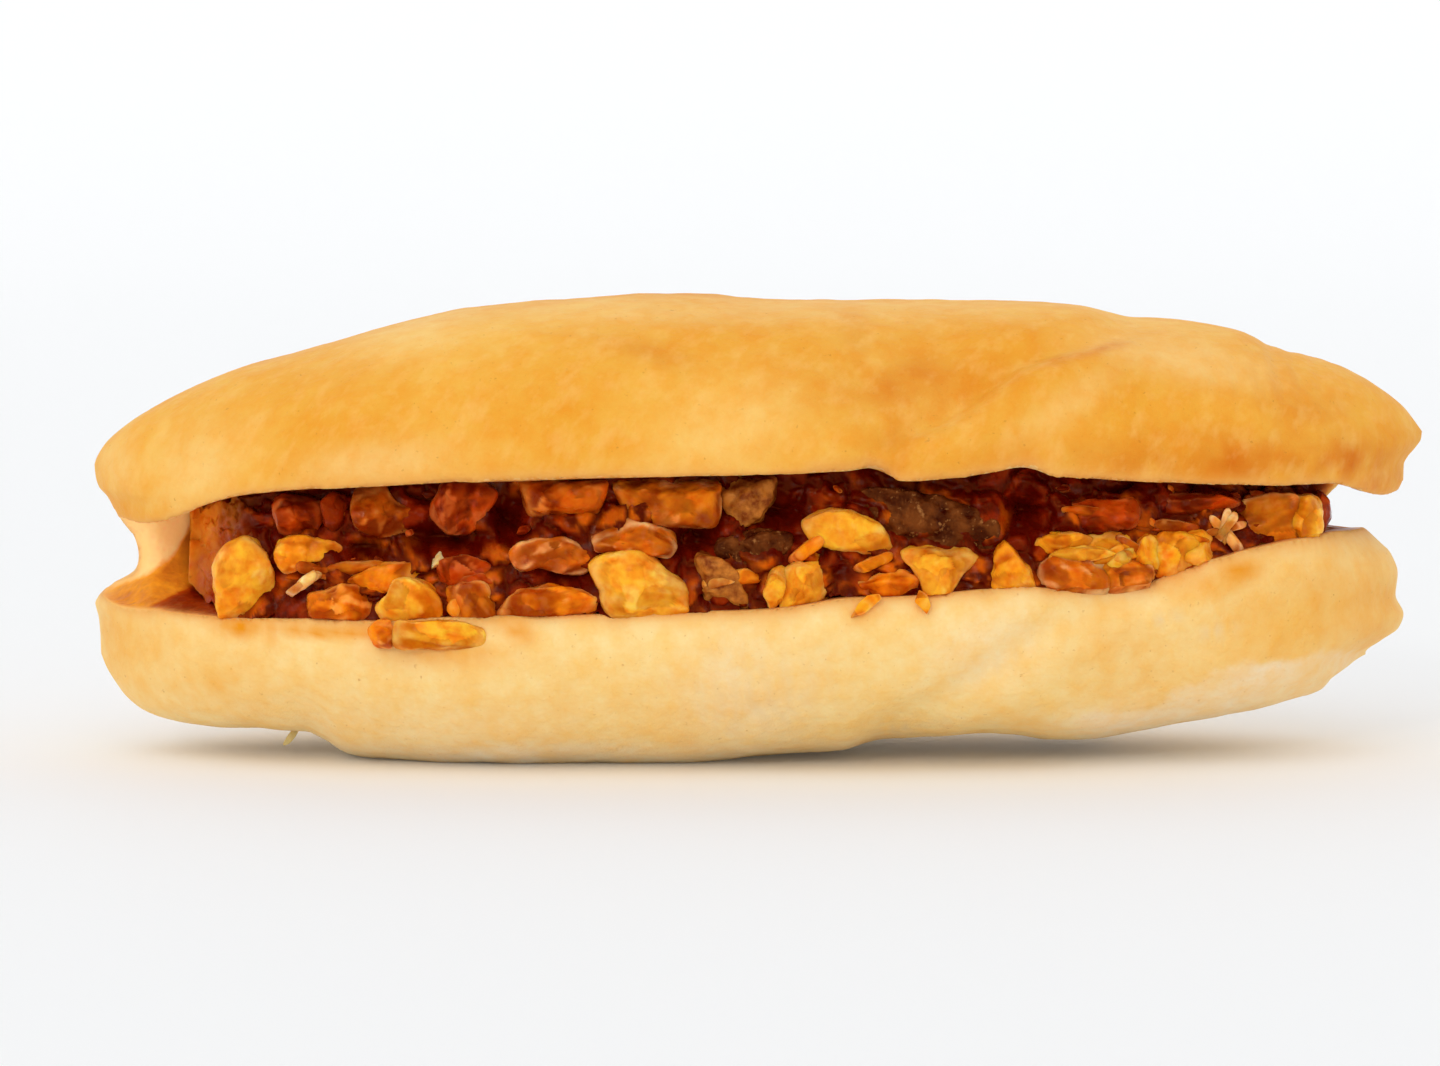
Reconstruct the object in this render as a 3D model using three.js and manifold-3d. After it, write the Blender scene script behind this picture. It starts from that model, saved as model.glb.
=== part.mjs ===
// Chicken samoli sandwich: a soft samoli roll, slit along one long side and opened like a book, filled with
// diced chicken in a dark spiced sauce, a slab of cooked green pepper and pieces of soft onion.
// Millimetres. +X runs along the roll, +Y from the open side to the hinge at the back, +Z up.
// The origin is the middle of the footprint, on the surface that the roll lies on.
import * as THREE from "three";
import { mergeVertices } from "three/addons/utils/BufferGeometryUtils.js";
import Module from "manifold-3d";

const wasm = await Module();
wasm.setup();

// The roll as a whole
const HALF_LENGTH = 105; // from the middle to the tip at either end
const HALF_WIDTH = 38; // from the long axis to the open side, and to the hinge
const TAPER_START = 2.6; // a higher number keeps the full width for longer
const TAPER_ROUND = 1.8; // a higher number makes blunter ends
const CROWN_FULLNESS = 2.35; // superellipse powers of the section: 2 is an ellipse, higher is boxier
const SOLE_FULLNESS = 2.7;
const BASE_BULGE = { height: 15, spread: 9, swell: 1.2 }; // the base swells over its lower edge
const EDGE_ROLL = { depth: 1.7, reach: 2.6 }; // the crust rolls in towards the cut
const END_FADE = 12; // relief of the crust fades out over this length at each end
const FOLDS_FADE = { from: 12, over: 16 }; // folds are on the open side, and fade out over this stretch of y

// Soft waves of hand-shaped dough, as height, radians for each millimetre along, turns round the roll, start
const DOUGH_WAVES = [
  [0.45, 0.085, 1, 0],
  [0.3, 0.17, -2, 1],
];

// Heights along the roll, as [x, z]
const CROWN = profile([
  [-105, 45.4], [-104.4, 46.9], [-102.6, 49.5], [-97.8, 53.3], [-91.5, 56.4], [-82, 60.2], [-72.5, 63.1],
  [-56.7, 67.5], [-44, 70.7], [-33, 72.1], [-20, 72.2], [-9, 71.9], [5, 71.4], [18, 71.4], [30, 71.7], [40, 72],
  [50, 70.9], [60, 68.4], [69, 67.6], [76, 66.4], [81, 64], [89, 61.8], [95.3, 59.2], [101.6, 55], [105, 50.7],
]);
const SOLE = profile([
  [-105, 15.5], [-104, 13.2], [-102.5, 11], [-100.7, 8.9], [-98, 7.1], [-95, 6.1], [-90, 5.1], [-80, 4.1],
  [-74, 3.3], [-71, 3.2], [-68, 1.9], [-64.5, -0.1], [-60, -0.6], [-45, -0.6], [-36, -1.2], [-12, -1.2],
  [0, -0.5], [8, 0.1], [13, 0.9], [17.5, 2.6], [22, 4], [27, 4.9], [33, 4.8], [40, 3.8], [46, 2.8], [52, 2.9],
  [58, 3.8], [66, 5.1], [72.5, 5.9], [80, 7.4], [84, 8.8], [90, 10.5], [98, 12.6], [105, 15.3],
]);
const EQUATOR = profile([[-105, 33], [0, 34], [105, 37]]);

// The cut, from its edges on the open side to the inside of the hinge
const LID_EDGE = profile([
  [-105, 40], [-101, 37.4], [-97, 36.6], [-92, 37.9], [-86, 40.6], [-80, 42.6], [-69, 43.9], [-41, 45.4],
  [-9, 46.3], [12, 47], [17.5, 47.9], [20.5, 45.7], [32, 46.2], [37, 47.2], [40.5, 47.9], [45, 46],
  [57, 45.2], [84, 44.2], [89, 44.3], [94, 42.3], [98, 41.3], [105, 42],
]);
const BASE_EDGE = profile([
  [-105, 25.4], [-102, 24.2], [-98, 23.4], [-88, 23.2], [-82, 23.2], [-72, 23.6], [-64, 23.8], [-60, 23.4],
  [-50, 24.4], [-19, 25.1], [6, 26.4], [13, 27.6], [22, 27.8], [41, 29.2], [46, 28.6], [59, 29.4], [64, 31.2],
  [70, 33], [80, 35.1], [88, 36.3], [105, 36.8],
]);
const LID_HINGE = profile([[-105, 37], [-80, 39.5], [0, 41.5], [60, 42.5], [105, 42]]);
const BASE_HINGE = profile([[-105, 26], [-90, 28.5], [-70, 30], [0, 32], [50, 34], [80, 35], [105, 33.5]]);
const HINGE_THICK = profile([
  [-105, 0], [-101, 12], [-98, 19], [-94, 24], [-90, 24], [-86, 19], [-80, 14.5], [-75, 12], [-64, 10.5],
  [0, 11], [70, 9.6], [84, 8.6], [91.5, 7.2], [95.5, 2], [99.5, -3], [105, -4],
]); // thicker at the left end, where the knife went in less deep
const CUT_SAG = 1.5; // both cut faces curve towards the hinge by this power of the way in
const HINGE_ROUND = 2.6; // the inside of the hinge is rounded this deep
const CUT_REACH = 12; // the cutting solid starts this far in front of the roll

// How far each end draws in at a height, as [z, distance]
const LEFT_DRAW = profile([
  [10, 0.9], [18, 0.8], [21, 0.6], [24, 0], [26.5, 2.2], [28.5, 6.2], [31, 7], [34, 6.3], [36.6, 4], [38, 3.4],
  [40.5, 2.1], [42, 0.8], [43.5, 0.3], [46, 0],
]);
const RIGHT_DRAW = profile([
  [12, 10], [14, 8.6], [15.6, 8.6], [17.6, 6.2], [19.7, 3.4], [21.8, 2.7], [24.9, 4], [28.3, 3.7], [31.4, 4.8],
  [33.5, 6.6], [36, 9], [39, 7.4], [40.5, 5], [41.8, 3.5], [43, 3], [45.6, 2.9], [46.8, 2.3], [48.1, 1.2],
  [49.6, 0.2], [51, 0],
]);
const DRAW_LENGTH = 22; // the draw fades out over this length

// Folds in the crust, seen from the open side as [x, z] paths
const LID_FOLD = {
  path: [
    [17.4, 46], [19.3, 51], [22.5, 54], [28, 56.3], [33.6, 60.4], [39, 64.3], [47.8, 66.4], [57, 67.6],
    [67, 69],
  ],
  valley: 1.8, wide: 2.2, lip: 1.2, lipAt: 5.2, lipWide: 4, fade: 0.35,
};
const BASE_FOLD = {
  path: [[66, 33], [60, 30], [54, 27], [44.6, 23.3], [36.7, 17.8], [27.2, 12.4], [19.3, 7.5], [14, 2]],
  valley: 1.1, wide: 2.8, lip: 0.8, lipAt: -5.5, lipWide: 4.4, fade: 0.2,
};
const LID_DENT = { x: 22.5, z: 62, rx: 14, rz: 8, depth: 2.3 };
const BASE_DENT = { x: 52, z: 17, rx: 13, rz: 8, depth: 1.4 };
const LID_PINCH = { x: -62, z: 50, rx: 4, rz: 9, depth: -0.7 };

// Tessellation
const CRUST_STATIONS = 62;
const CRUST_SIDES = 38;
const END_SPREAD = 0.3; // a lower number crowds the stations towards the ends
const CUT_STATIONS = 50;
const CUT_STEPS = 6;
const HINGE_STEPS = 4;
const CORE_STATIONS = 38;

// Clearance between neighbouring solids
const CLEAR = 0.35;

// The body of sauce and hidden pieces behind the ones that show
const CORE = {
  from: -89.5, to: 87, // its ends along the roll
  inset: 6.6, slope: 4.6, // its front stands this far behind the open side, and leans back by the slope
  lift: 0.4, drop: 1.4, back: 0.7, // what it leaves free above the base, under the lid and at the hinge
  ends: 0.09, shrink: 2.5, endHeight: 0.5, // at each end it draws in over this share of its length
  lump: 0.8, lumpWaves: [0.52, 0.23], // unevenness of its front, in radians for each millimetre along
  least: 2.5, // its least height
};

// Pieces that show, as x, z, wide, tall, inset of the middle behind the open side, deep, turn in degrees, and
// how far the top leans for each unit of height
const CHICKEN = [
  [-79.6, 29.4, 9.4, 13.4, 4.8, 9.6, 3, -0.06], // upright block at the left end
  [-69.6, 33.3, 10.4, 5.4, 7.2, 7.5, 12, 0],
  [-71.2, 39, 8.2, 6.8, 9, 7, 0, 0],
  [-70.1, 28.6, 7, 1.9, 3.6, 5, 33, 0], // pale sliver
  [-63.5, 27.2, 10.2, 5, 5.2, 9, 5, 0],
  [-53.5, 27.6, 9.8, 7.8, 4, 8, 14, 0],
  [-48.6, 22, 15, 4.6, -0.5, 4, -2, 0], // strip that hangs over the edge of the base
  [-57.6, 22.4, 4.6, 5.6, -0.1, 5, 10, 0],
  [-56.5, 31.2, 12, 3, 9, 8, 6, 0],
  [-49.6, 33, 3, 3.8, 8, 6, 0, 0.2],
  [-44.6, 26.9, 8.8, 5.2, 5.4, 9, 2, 0],
  [-46, 30.6, 10.6, 5.4, 10, 9, -4, 0],
  [-32.4, 26.8, 16.6, 5.2, 4.6, 9, 2, 0],
  [-18.2, 29.9, 13.4, 9.6, 5.2, 8.8, -3, -0.34], // largest bright block
  [-32.3, 33.9, 12.8, 5.8, 9, 9, 1, 0],
  [-19.2, 36.4, 13.6, 6.2, 9, 9, -3, 0],
  [-29.5, 41.8, 12.8, 8.6, 10.2, 9, 0, 0],
  [-14.1, 41.9, 16.8, 7.2, 10, 9, -1, 0],
  [-45.5, 41, 10.6, 7.8, 10, 9, 0, 0.2],
  [-60.2, 39.6, 5, 7.6, 10.2, 9, 0, 0],
  [-54.6, 38.4, 6.6, 4.6, 10.2, 9, -8, 0],
  [-65.6, 39.4, 4.8, 6.2, 10.2, 8, 0, 0],
  [-1.8, 31.5, 5.6, 3, 5.4, 5, -4, 0],
  [2.2, 29.8, 3.4, 6.4, 3.8, 6, 4, 0],
  [7.2, 30, 7.4, 6.8, 5.6, 9, 0, 0],
  [6.8, 34.4, 4.6, 4, 8.5, 8, 0, 0],
  [13.8, 37.4, 13.6, 7.6, 7.4, 9.4, -14, 0],
  [19.4, 30.9, 9, 5.8, 5.4, 9, 6, 0],
  [27.6, 34, 12.6, 4.2, 5.2, 9, -6, 0],
  [25.4, 31, 5.4, 5.6, 5, 8, 8, 0.2],
  [38.2, 32.2, 7.6, 8.8, 4.4, 8, 10, -0.34], // wedge
  [49.8, 36, 16.4, 4.6, 7, 9, 1, 0],
  [49.6, 31.8, 17, 5, 4.8, 9, 3, 0],
  [61.4, 34, 7.4, 6.6, 5, 8, -8, 0],
  [67, 35, 7.6, 5.8, 5.2, 8, 12, 0],
  [72.2, 37.4, 5.6, 6, 6, 7, 24, 0],
  [59, 40.2, 30, 5.6, 10.2, 9, -1, 0], // long strip at the back, in the shade of the lid
  [77.4, 38.3, 10.4, 6.4, 7.4, 9, 4, 0],
  [85.2, 38.8, 5.2, 6.4, 4.8, 8, 6, 0],
  [88, 39.6, 3.6, 5.6, 8.2, 7, 0, 0], // end of the filling at the right
];
const ONION_FRONT = [-5.9, 29.6, 8, 9.2, 6, 7, 6, 0];
const ONION_TOP = [-1.8, 41.8, 7.4, 7.4, 10.6, 8, 0, 0];
const PEPPER_SLAB = [26.6, 39, 22.6, 8, 8.4, 7, -10, 0];
const PEPPER_SCRAP = [-0.6, 35.8, 10.4, 5.6, 7.8, 6, -4, 0];
const BLOCK_ROUND = 0.42; // how far a piece's corners are drawn towards a ball
const BLOCK_JITTER = 0.11; // how uneven its corners are, as a share of its size
const BALL_SIZE = 1.12; // the radius of that ball, as a share of half the piece's size
const YAW_SPREAD = 0.5; // radians that pieces differ by, turned about the upright
const CORNER_CLEAR = 1.3; // corners move out further than faces to clear a neighbour
const SEED = 41;

const CRUST_COLOUR = 0xf4b657;
const CHICKEN_COLOUR = 0xe08a22;
const ONION_COLOUR = 0xb07a48;
const PEPPER_COLOUR = 0x4d3a20;

// A smooth function through hand-set points, with slopes that never overshoot, flat beyond both ends.
function profile(points) {
  const last = points.length - 1;
  const slopes = points.slice(1).map(([x, y], i) => (y - points[i][1]) / (x - points[i][0]));
  const tangents = points.map((_, i) => {
    if (i === 0 || i === last) return slopes[i === 0 ? 0 : last - 1];
    const [a, b] = [slopes[i - 1], slopes[i]];
    return a * b <= 0 ? 0 : (2 * a * b) / (a + b);
  });
  return (x) => {
    if (x <= points[0][0]) return points[0][1];
    if (x >= points[last][0]) return points[last][1];
    const i = points.findIndex((p) => p[0] > x) - 1;
    const step = points[i + 1][0] - points[i][0];
    const t = (x - points[i][0]) / step;
    const keep = (1 + 2 * t) * (1 - t) ** 2;
    return (
      keep * points[i][1] +
      (1 - keep) * points[i + 1][1] +
      t * (1 - t) ** 2 * step * tangents[i] -
      t * t * (1 - t) * step * tangents[i + 1]
    );
  };
}

const clamp01 = (t) => Math.min(1, Math.max(0, t));
const smooth = (t) => clamp01(t) ** 2 * (3 - 2 * clamp01(t));
const bell = (t) => Math.exp(-t * t);
const signedPower = (v, power) => Math.sign(v) * Math.abs(v) ** power;

// A seeded random number between 0 and 1 at each call.
function seeded(seed) {
  let state = seed;
  return () => {
    state = (state * 16807) % 2147483647;
    return state / 2147483647;
  };
}

// Half the roll's width at x, which closes in a rounded end.
function halfWidth(x) {
  const share = Math.min(1, Math.abs(x) / HALF_LENGTH);
  return HALF_WIDTH * (1 - share ** TAPER_START) ** (1 / TAPER_ROUND);
}

// Signed distance from a side-view path, positive below it and to its right, and the share of the way along.
function fromPath(path, x, z) {
  let best = { far: Infinity, off: 0, along: 0 };
  for (let i = 0; i < path.length - 1; i++) {
    const [ax, az] = path[i];
    const [dx, dz] = [path[i + 1][0] - ax, path[i + 1][1] - az];
    const t = clamp01(((x - ax) * dx + (z - az) * dz) / (dx * dx + dz * dz));
    const [ox, oz] = [x - ax - t * dx, z - az - t * dz];
    const far = Math.hypot(ox, oz);
    const off = (ox * dz - oz * dx >= 0 ? 1 : -1) * far;
    if (far < best.far) best = { far, off, along: (i + t) / (path.length - 1) };
  }
  return best;
}

// Relief of one fold: a valley along the path with a swollen lip beside it, both fading towards its far end.
function fold(shape, x, z) {
  const { off, along } = fromPath(shape.path, x, z);
  const lip = shape.lip * bell((off - shape.lipAt) / shape.lipWide);
  const valley = shape.valley * bell(off / shape.wide);
  return smooth((1 - along) / shape.fade) * (lip - valley);
}

// Relief of one rounded dent, or of a swelling where its depth is negative.
function dent(shape, x, z) {
  return -shape.depth * bell(Math.hypot((x - shape.x) / shape.rx, (z - shape.z) / shape.rz) ** 1.5);
}

// Soft unevenness of hand-shaped dough.
function dough(x, angle) {
  return DOUGH_WAVES.reduce(
    (sum, [height, along, turns, start]) => sum + height * Math.sin(along * x + turns * angle + start),
    0,
  );
}

// Outward relief of the crust at a place. The folds are on the open side and fade over the crown.
function relief(x, y, z, angle) {
  const shown = smooth((FOLDS_FADE.from - y) / FOLDS_FADE.over);
  const creases = fold(LID_FOLD, x, z) + fold(BASE_FOLD, x, z);
  const dents = dent(LID_DENT, x, z) + dent(LID_PINCH, x, z) + dent(BASE_DENT, x, z);
  const toCut = Math.max(0, z - LID_EDGE(x), BASE_EDGE(x) - z);
  const rolled = y < 0 ? EDGE_ROLL.depth * Math.exp(-toCut / EDGE_ROLL.reach) : 0;
  const bulge = BASE_BULGE.swell * bell((z - BASE_BULGE.height) / BASE_BULGE.spread);
  const fade = smooth((HALF_LENGTH - Math.abs(x)) / END_FADE);
  return fade * (shown * (creases + dents) + dough(x, angle) + bulge - rolled);
}

// A point of the crust at station x. The angle runs from the open side over the crown, hinge and sole.
function crustPoint(x, angle, grow) {
  const [c, s] = [Math.cos(angle), Math.sin(angle)];
  const power = 2 / (s >= 0 ? CROWN_FULLNESS : SOLE_FULLNESS);
  const rise = s >= 0 ? CROWN(x) - EQUATOR(x) : EQUATOR(x) - SOLE(x);
  let y = -halfWidth(x) * signedPower(c, power);
  let z = rise * signedPower(s, power);
  const reach = Math.max(1, Math.hypot(y, z));
  const out = 1 + (relief(x, y, z + EQUATOR(x), angle) + grow) / reach;
  y *= out;
  z = Math.max(z * out + EQUATOR(x), -grow);
  const left = x < 0;
  const end = smooth(1 - (HALF_LENGTH - Math.abs(x)) / DRAW_LENGTH) * (left ? LEFT_DRAW(z) : RIGHT_DRAW(z));
  return new THREE.Vector3(left ? x + end - grow : x - end + grow, y, z);
}

// The crust as a closed solid that still fills the cut.
function wholeRoll(grow = 0) {
  const rings = [];
  for (let i = 0; i <= CRUST_STATIONS; i++) {
    const t = (2 * i) / CRUST_STATIONS - 1;
    const x = HALF_LENGTH * (END_SPREAD * t + (1 - END_SPREAD) * Math.sin((Math.PI / 2) * t));
    const ring = [];
    for (let k = 0; k < CRUST_SIDES; k++) ring.push(crustPoint(x, (2 * Math.PI * k) / CRUST_SIDES, grow));
    rings.push(ring);
  }
  return closed(rings, false);
}

// The y of the inside of the hinge at x, and of the roll's open side.
const hingeY = (x) => halfWidth(x) - HINGE_THICK(x);
const openY = (x) => -halfWidth(x);

// The share of the way in from the open side to the hinge, and the two cut faces' heights there.
const wayIn = (x, y) => clamp01((y - openY(x)) / Math.max(6, hingeY(x) - openY(x)));
const baseCut = (x, y) => BASE_EDGE(x) + (BASE_HINGE(x) - BASE_EDGE(x)) * wayIn(x, y) ** CUT_SAG;
const lidCut = (x, y) => LID_EDGE(x) + (LID_HINGE(x) - LID_EDGE(x)) * wayIn(x, y) ** CUT_SAG;

// The space between the two cut faces as a solid, drawn in by a clearance.
function cutSpace(clear = 0) {
  const rings = [];
  for (let i = 0; i <= CUT_STATIONS; i++) {
    const x = (HALF_LENGTH + 4) * ((2 * i) / CUT_STATIONS - 1);
    const back = hingeY(x) - clear;
    const front = openY(x) - CUT_REACH;
    const ring = [];
    for (let k = 0; k <= CUT_STEPS; k++) {
      const y = front + (back - front) * (k / CUT_STEPS);
      ring.push(new THREE.Vector3(x, y, baseCut(x, y) + clear));
    }
    const [low, high] = [baseCut(x, back) + clear, lidCut(x, back) - clear];
    for (let k = 1; k < HINGE_STEPS; k++) {
      const angle = Math.PI * (k / HINGE_STEPS - 0.5);
      const z = (low + high) / 2 + (Math.sin(angle) * (high - low)) / 2;
      ring.push(new THREE.Vector3(x, back + HINGE_ROUND * Math.cos(angle), z));
    }
    for (let k = CUT_STEPS; k >= 0; k--) {
      const y = front + (back - front) * (k / CUT_STEPS);
      ring.push(new THREE.Vector3(x, y, lidCut(x, y) - clear));
    }
    rings.push(ring);
  }
  return closed(rings, true);
}

// The sauce and hidden pieces that carry the filling, a lumpy body that reaches back to the hinge.
function fillingCore() {
  const rings = [];
  for (let i = 0; i <= CORE_STATIONS; i++) {
    const share = i / CORE_STATIONS;
    const x = CORE.from + (CORE.to - CORE.from) * share;
    const full = smooth(Math.min(share, 1 - share) / CORE.ends);
    const lump = CORE.lump * Math.sin(CORE.lumpWaves[0] * x) * Math.cos(CORE.lumpWaves[1] * x + 1);
    const front = openY(x) + CORE.inset + lump + CORE.shrink * (1 - full);
    const back = hingeY(x) - CORE.back;
    const brow = Math.min(front + CORE.slope, back - 2);
    const low = (y) => baseCut(x, y) + CORE.lift;
    const high = (y) => {
      const room = lidCut(x, y) - CORE.drop + 0.4 * lump - low(y);
      return low(y) + Math.max(CORE.least, room * (CORE.endHeight + (1 - CORE.endHeight) * full));
    };
    const at = (y, share) => [y, low(y) + (high(y) - low(y)) * share];
    const ring = [
      at(front, 0),
      at((front + back) / 2, 0),
      at(back, 0),
      at(back + HINGE_ROUND * 0.6, 0.5),
      at(back, 1),
      at((brow + back) / 2, 1),
      at(brow, 1),
      at(front + 0.4 * CORE.slope, 0.75),
      at(front - 0.6, 0.4),
    ];
    rings.push(ring.map(([y, z]) => new THREE.Vector3(x, y, z)));
  }
  return closed(rings, true);
}

// One cut piece: a box of a few facets with drawn-in, uneven corners.
function block([x, z, wide, tall, inset, deep, turn, lean], random, grow = 0) {
  const shape = new THREE.BoxGeometry(2, 2, 2, 2, 2, 2);
  ["normal", "uv"].forEach((name) => shape.deleteAttribute(name));
  const merged = mergeVertices(shape);
  const place = merged.getAttribute("position");
  const yaw = (random() - 0.5) * YAW_SPREAD;
  const middle = new THREE.Vector3(x, openY(x) + inset, z);
  const half = new THREE.Vector3(wide / 2, deep / 2, tall / 2);
  const turned = new THREE.Euler(0, THREE.MathUtils.degToRad(-turn), yaw, "YZX");
  const point = new THREE.Vector3();
  for (let i = 0; i < place.count; i++) {
    point.fromBufferAttribute(place, i);
    const ball = point.clone().normalize().multiplyScalar(BALL_SIZE);
    point.lerp(ball, BLOCK_ROUND);
    ["x", "y", "z"].forEach((axis) => (point[axis] += (random() - 0.5) * 2 * BLOCK_JITTER));
    point.multiply(half).addScaledVector(ball, grow * CORNER_CLEAR);
    point.x += lean * point.z;
    point.applyEuler(turned).add(middle);
    place.setXYZ(i, point.x, point.y, point.z);
  }
  return solid(merged);
}

// A closed surface through rings of points, with flat ends or with ends that the rings themselves close.
function closed(rings, capped) {
  const sides = rings[0].length;
  const points = rings.flat();
  const faces = [];
  for (let i = 0; i < rings.length - 1; i++) {
    for (let k = 0; k < sides; k++) {
      const [a, b] = [i * sides + k, i * sides + ((k + 1) % sides)];
      faces.push([a, b, b + sides], [a, b + sides, a + sides]);
    }
  }
  if (capped) {
    const section = rings[0].map((p) => new THREE.Vector2(p.y, p.z));
    const lastSection = rings.at(-1).map((p) => new THREE.Vector2(p.y, p.z));
    const offset = (rings.length - 1) * sides;
    THREE.ShapeUtils.triangulateShape(section, []).forEach(([a, b, c]) => faces.push([c, b, a]));
    THREE.ShapeUtils.triangulateShape(lastSection, []).forEach(([a, b, c]) =>
      faces.push([a + offset, b + offset, c + offset]),
    );
  }
  const shape = new THREE.BufferGeometry().setFromPoints(points);
  shape.setIndex(faces.flat());
  return solid(shape);
}

// A geometry as a solid, with shared vertices merged, faces without area dropped and all faces pointing out.
function solid(shape) {
  const merged = mergeVertices(shape, 1e-3);
  const index = merged.index.array;
  const kept = [];
  for (let i = 0; i < index.length; i += 3) {
    const [a, b, c] = [index[i], index[i + 1], index[i + 2]];
    if (a !== b && b !== c && c !== a) kept.push(a, b, c);
  }
  const make = (triVerts) =>
    new wasm.Manifold(
      new wasm.Mesh({
        numProp: 3,
        vertProperties: new Float32Array(merged.getAttribute("position").array),
        triVerts: new Uint32Array(triVerts),
      }),
    );
  const made = make(kept);
  if (made.volume() > 0) return made;
  for (let i = 0; i < kept.length; i += 3) [kept[i + 1], kept[i + 2]] = [kept[i + 2], kept[i + 1]];
  return make(kept);
}

// The largest body of a solid, without the scraps that a cut can leave.
function mainBody(made) {
  return made.decompose().sort((a, b) => b.volume() - a.volume())[0];
}

function mesh(name, made, colour, roughness) {
  const { vertProperties, triVerts } = made.getMesh();
  const shape = new THREE.BufferGeometry();
  shape.setAttribute("position", new THREE.BufferAttribute(new Float32Array(vertProperties), 3));
  shape.setIndex(new THREE.BufferAttribute(new Uint32Array(triVerts), 1));
  shape.computeVertexNormals();
  const material = new THREE.MeshStandardMaterial({ color: colour, roughness, metalness: 0 });
  const part = new THREE.Mesh(shape, material);
  part.name = name;
  return part;
}

const roll = mainBody(wholeRoll().subtract(cutSpace()));
const rollWithClearance = wholeRoll(2 * CLEAR).subtract(cutSpace(CLEAR));

// The pieces of another kind stand alone, each clear of the roll and of those placed before it.
const separate = {
  onion_front: ONION_FRONT,
  onion_top: ONION_TOP,
  pepper_slab: PEPPER_SLAB,
  pepper_scrap: PEPPER_SCRAP,
};
const loose = [];
Object.entries(separate).forEach(([name, row], i) => {
  let body = block(row, seeded(SEED + i)).subtract(rollWithClearance);
  loose.forEach(({ room }) => {
    body = body.subtract(room);
  });
  const colour = name.startsWith("onion") ? ONION_COLOUR : PEPPER_COLOUR;
  loose.push({ name, colour, body: mainBody(body), room: block(row, seeded(SEED + i), CLEAR) });
});

// The chicken is one heap, fused to the body of sauce behind it.
const random = seeded(SEED);
let heap = fillingCore();
CHICKEN.forEach((row) => {
  heap = heap.add(block(row, random));
});
heap = heap.subtract(rollWithClearance);
loose.forEach(({ room }) => {
  heap = heap.subtract(room);
});

const sandwich = new THREE.Group();
sandwich.add(mesh("samoli_roll", roll, CRUST_COLOUR, 0.6));
sandwich.add(mesh("chicken_filling", mainBody(heap), CHICKEN_COLOUR, 0.35));
loose.forEach(({ name, body, colour }) => sandwich.add(mesh(name, body, colour, 0.3)));

export default sandwich;
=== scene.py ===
# %% [markdown]
# # A chicken samoli sandwich
#
# A samoli is a soft white roll with tapered ends. This one is slit along one long side, opened like a book
# and filled with diced chicken in a dark spiced sauce, with a slab of pepper and some onion. The packed
# model gives the true sizes and places. This lesson makes the fine surface of each piece from formulas, as
# whole numpy arrays, and then builds its finish from shader nodes.

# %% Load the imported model
import itertools

import bpy
import numpy as np
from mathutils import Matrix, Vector


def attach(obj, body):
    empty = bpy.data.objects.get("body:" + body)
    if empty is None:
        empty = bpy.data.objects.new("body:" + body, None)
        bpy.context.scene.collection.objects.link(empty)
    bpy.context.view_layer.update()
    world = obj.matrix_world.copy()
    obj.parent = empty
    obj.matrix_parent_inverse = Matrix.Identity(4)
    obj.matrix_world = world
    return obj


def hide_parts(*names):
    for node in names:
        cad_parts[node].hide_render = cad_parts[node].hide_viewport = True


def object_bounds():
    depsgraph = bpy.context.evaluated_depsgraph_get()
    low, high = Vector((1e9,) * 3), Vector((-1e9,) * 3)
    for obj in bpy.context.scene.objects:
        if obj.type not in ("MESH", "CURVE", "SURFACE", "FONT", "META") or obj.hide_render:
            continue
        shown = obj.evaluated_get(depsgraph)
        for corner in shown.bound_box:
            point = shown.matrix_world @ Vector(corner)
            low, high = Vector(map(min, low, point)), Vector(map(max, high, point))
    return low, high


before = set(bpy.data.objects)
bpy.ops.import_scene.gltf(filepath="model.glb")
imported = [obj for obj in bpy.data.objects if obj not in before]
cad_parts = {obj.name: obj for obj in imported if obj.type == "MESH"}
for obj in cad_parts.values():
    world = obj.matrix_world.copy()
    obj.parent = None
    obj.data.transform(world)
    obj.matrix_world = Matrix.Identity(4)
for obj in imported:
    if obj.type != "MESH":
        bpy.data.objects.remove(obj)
cad_low, cad_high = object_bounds()
MM = 0.001
print("nodes:", sorted(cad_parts))
print("box in mm:", [round(v / MM, 1) for v in (*cad_low, *cad_high)])

# %% [markdown]
# ## Small formulas
#
# Organic forms need soft steps and soft bumps. A `profile` is a height along the roll that passes through a
# few given points. Its slopes are harmonic means, so the curve never overshoots between two points, as a
# plain cubic spline would.

# %% Steps, bumps and profiles


def smooth(t):
    """0 below 0, 1 above 1, and an S-curve, 3 t squared minus 2 t cubed, between them."""
    t = np.clip(t, 0, 1)
    return t * t * (3 - 2 * t)


def bell(t):
    """e to the power of minus t squared: 1 in the middle, and nearly 0 beyond 2."""
    return np.exp(-t * t)


def signed_power(value, power):
    """The size of value raised to power, with value's own sign."""
    return np.sign(value) * np.abs(value) ** power


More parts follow.
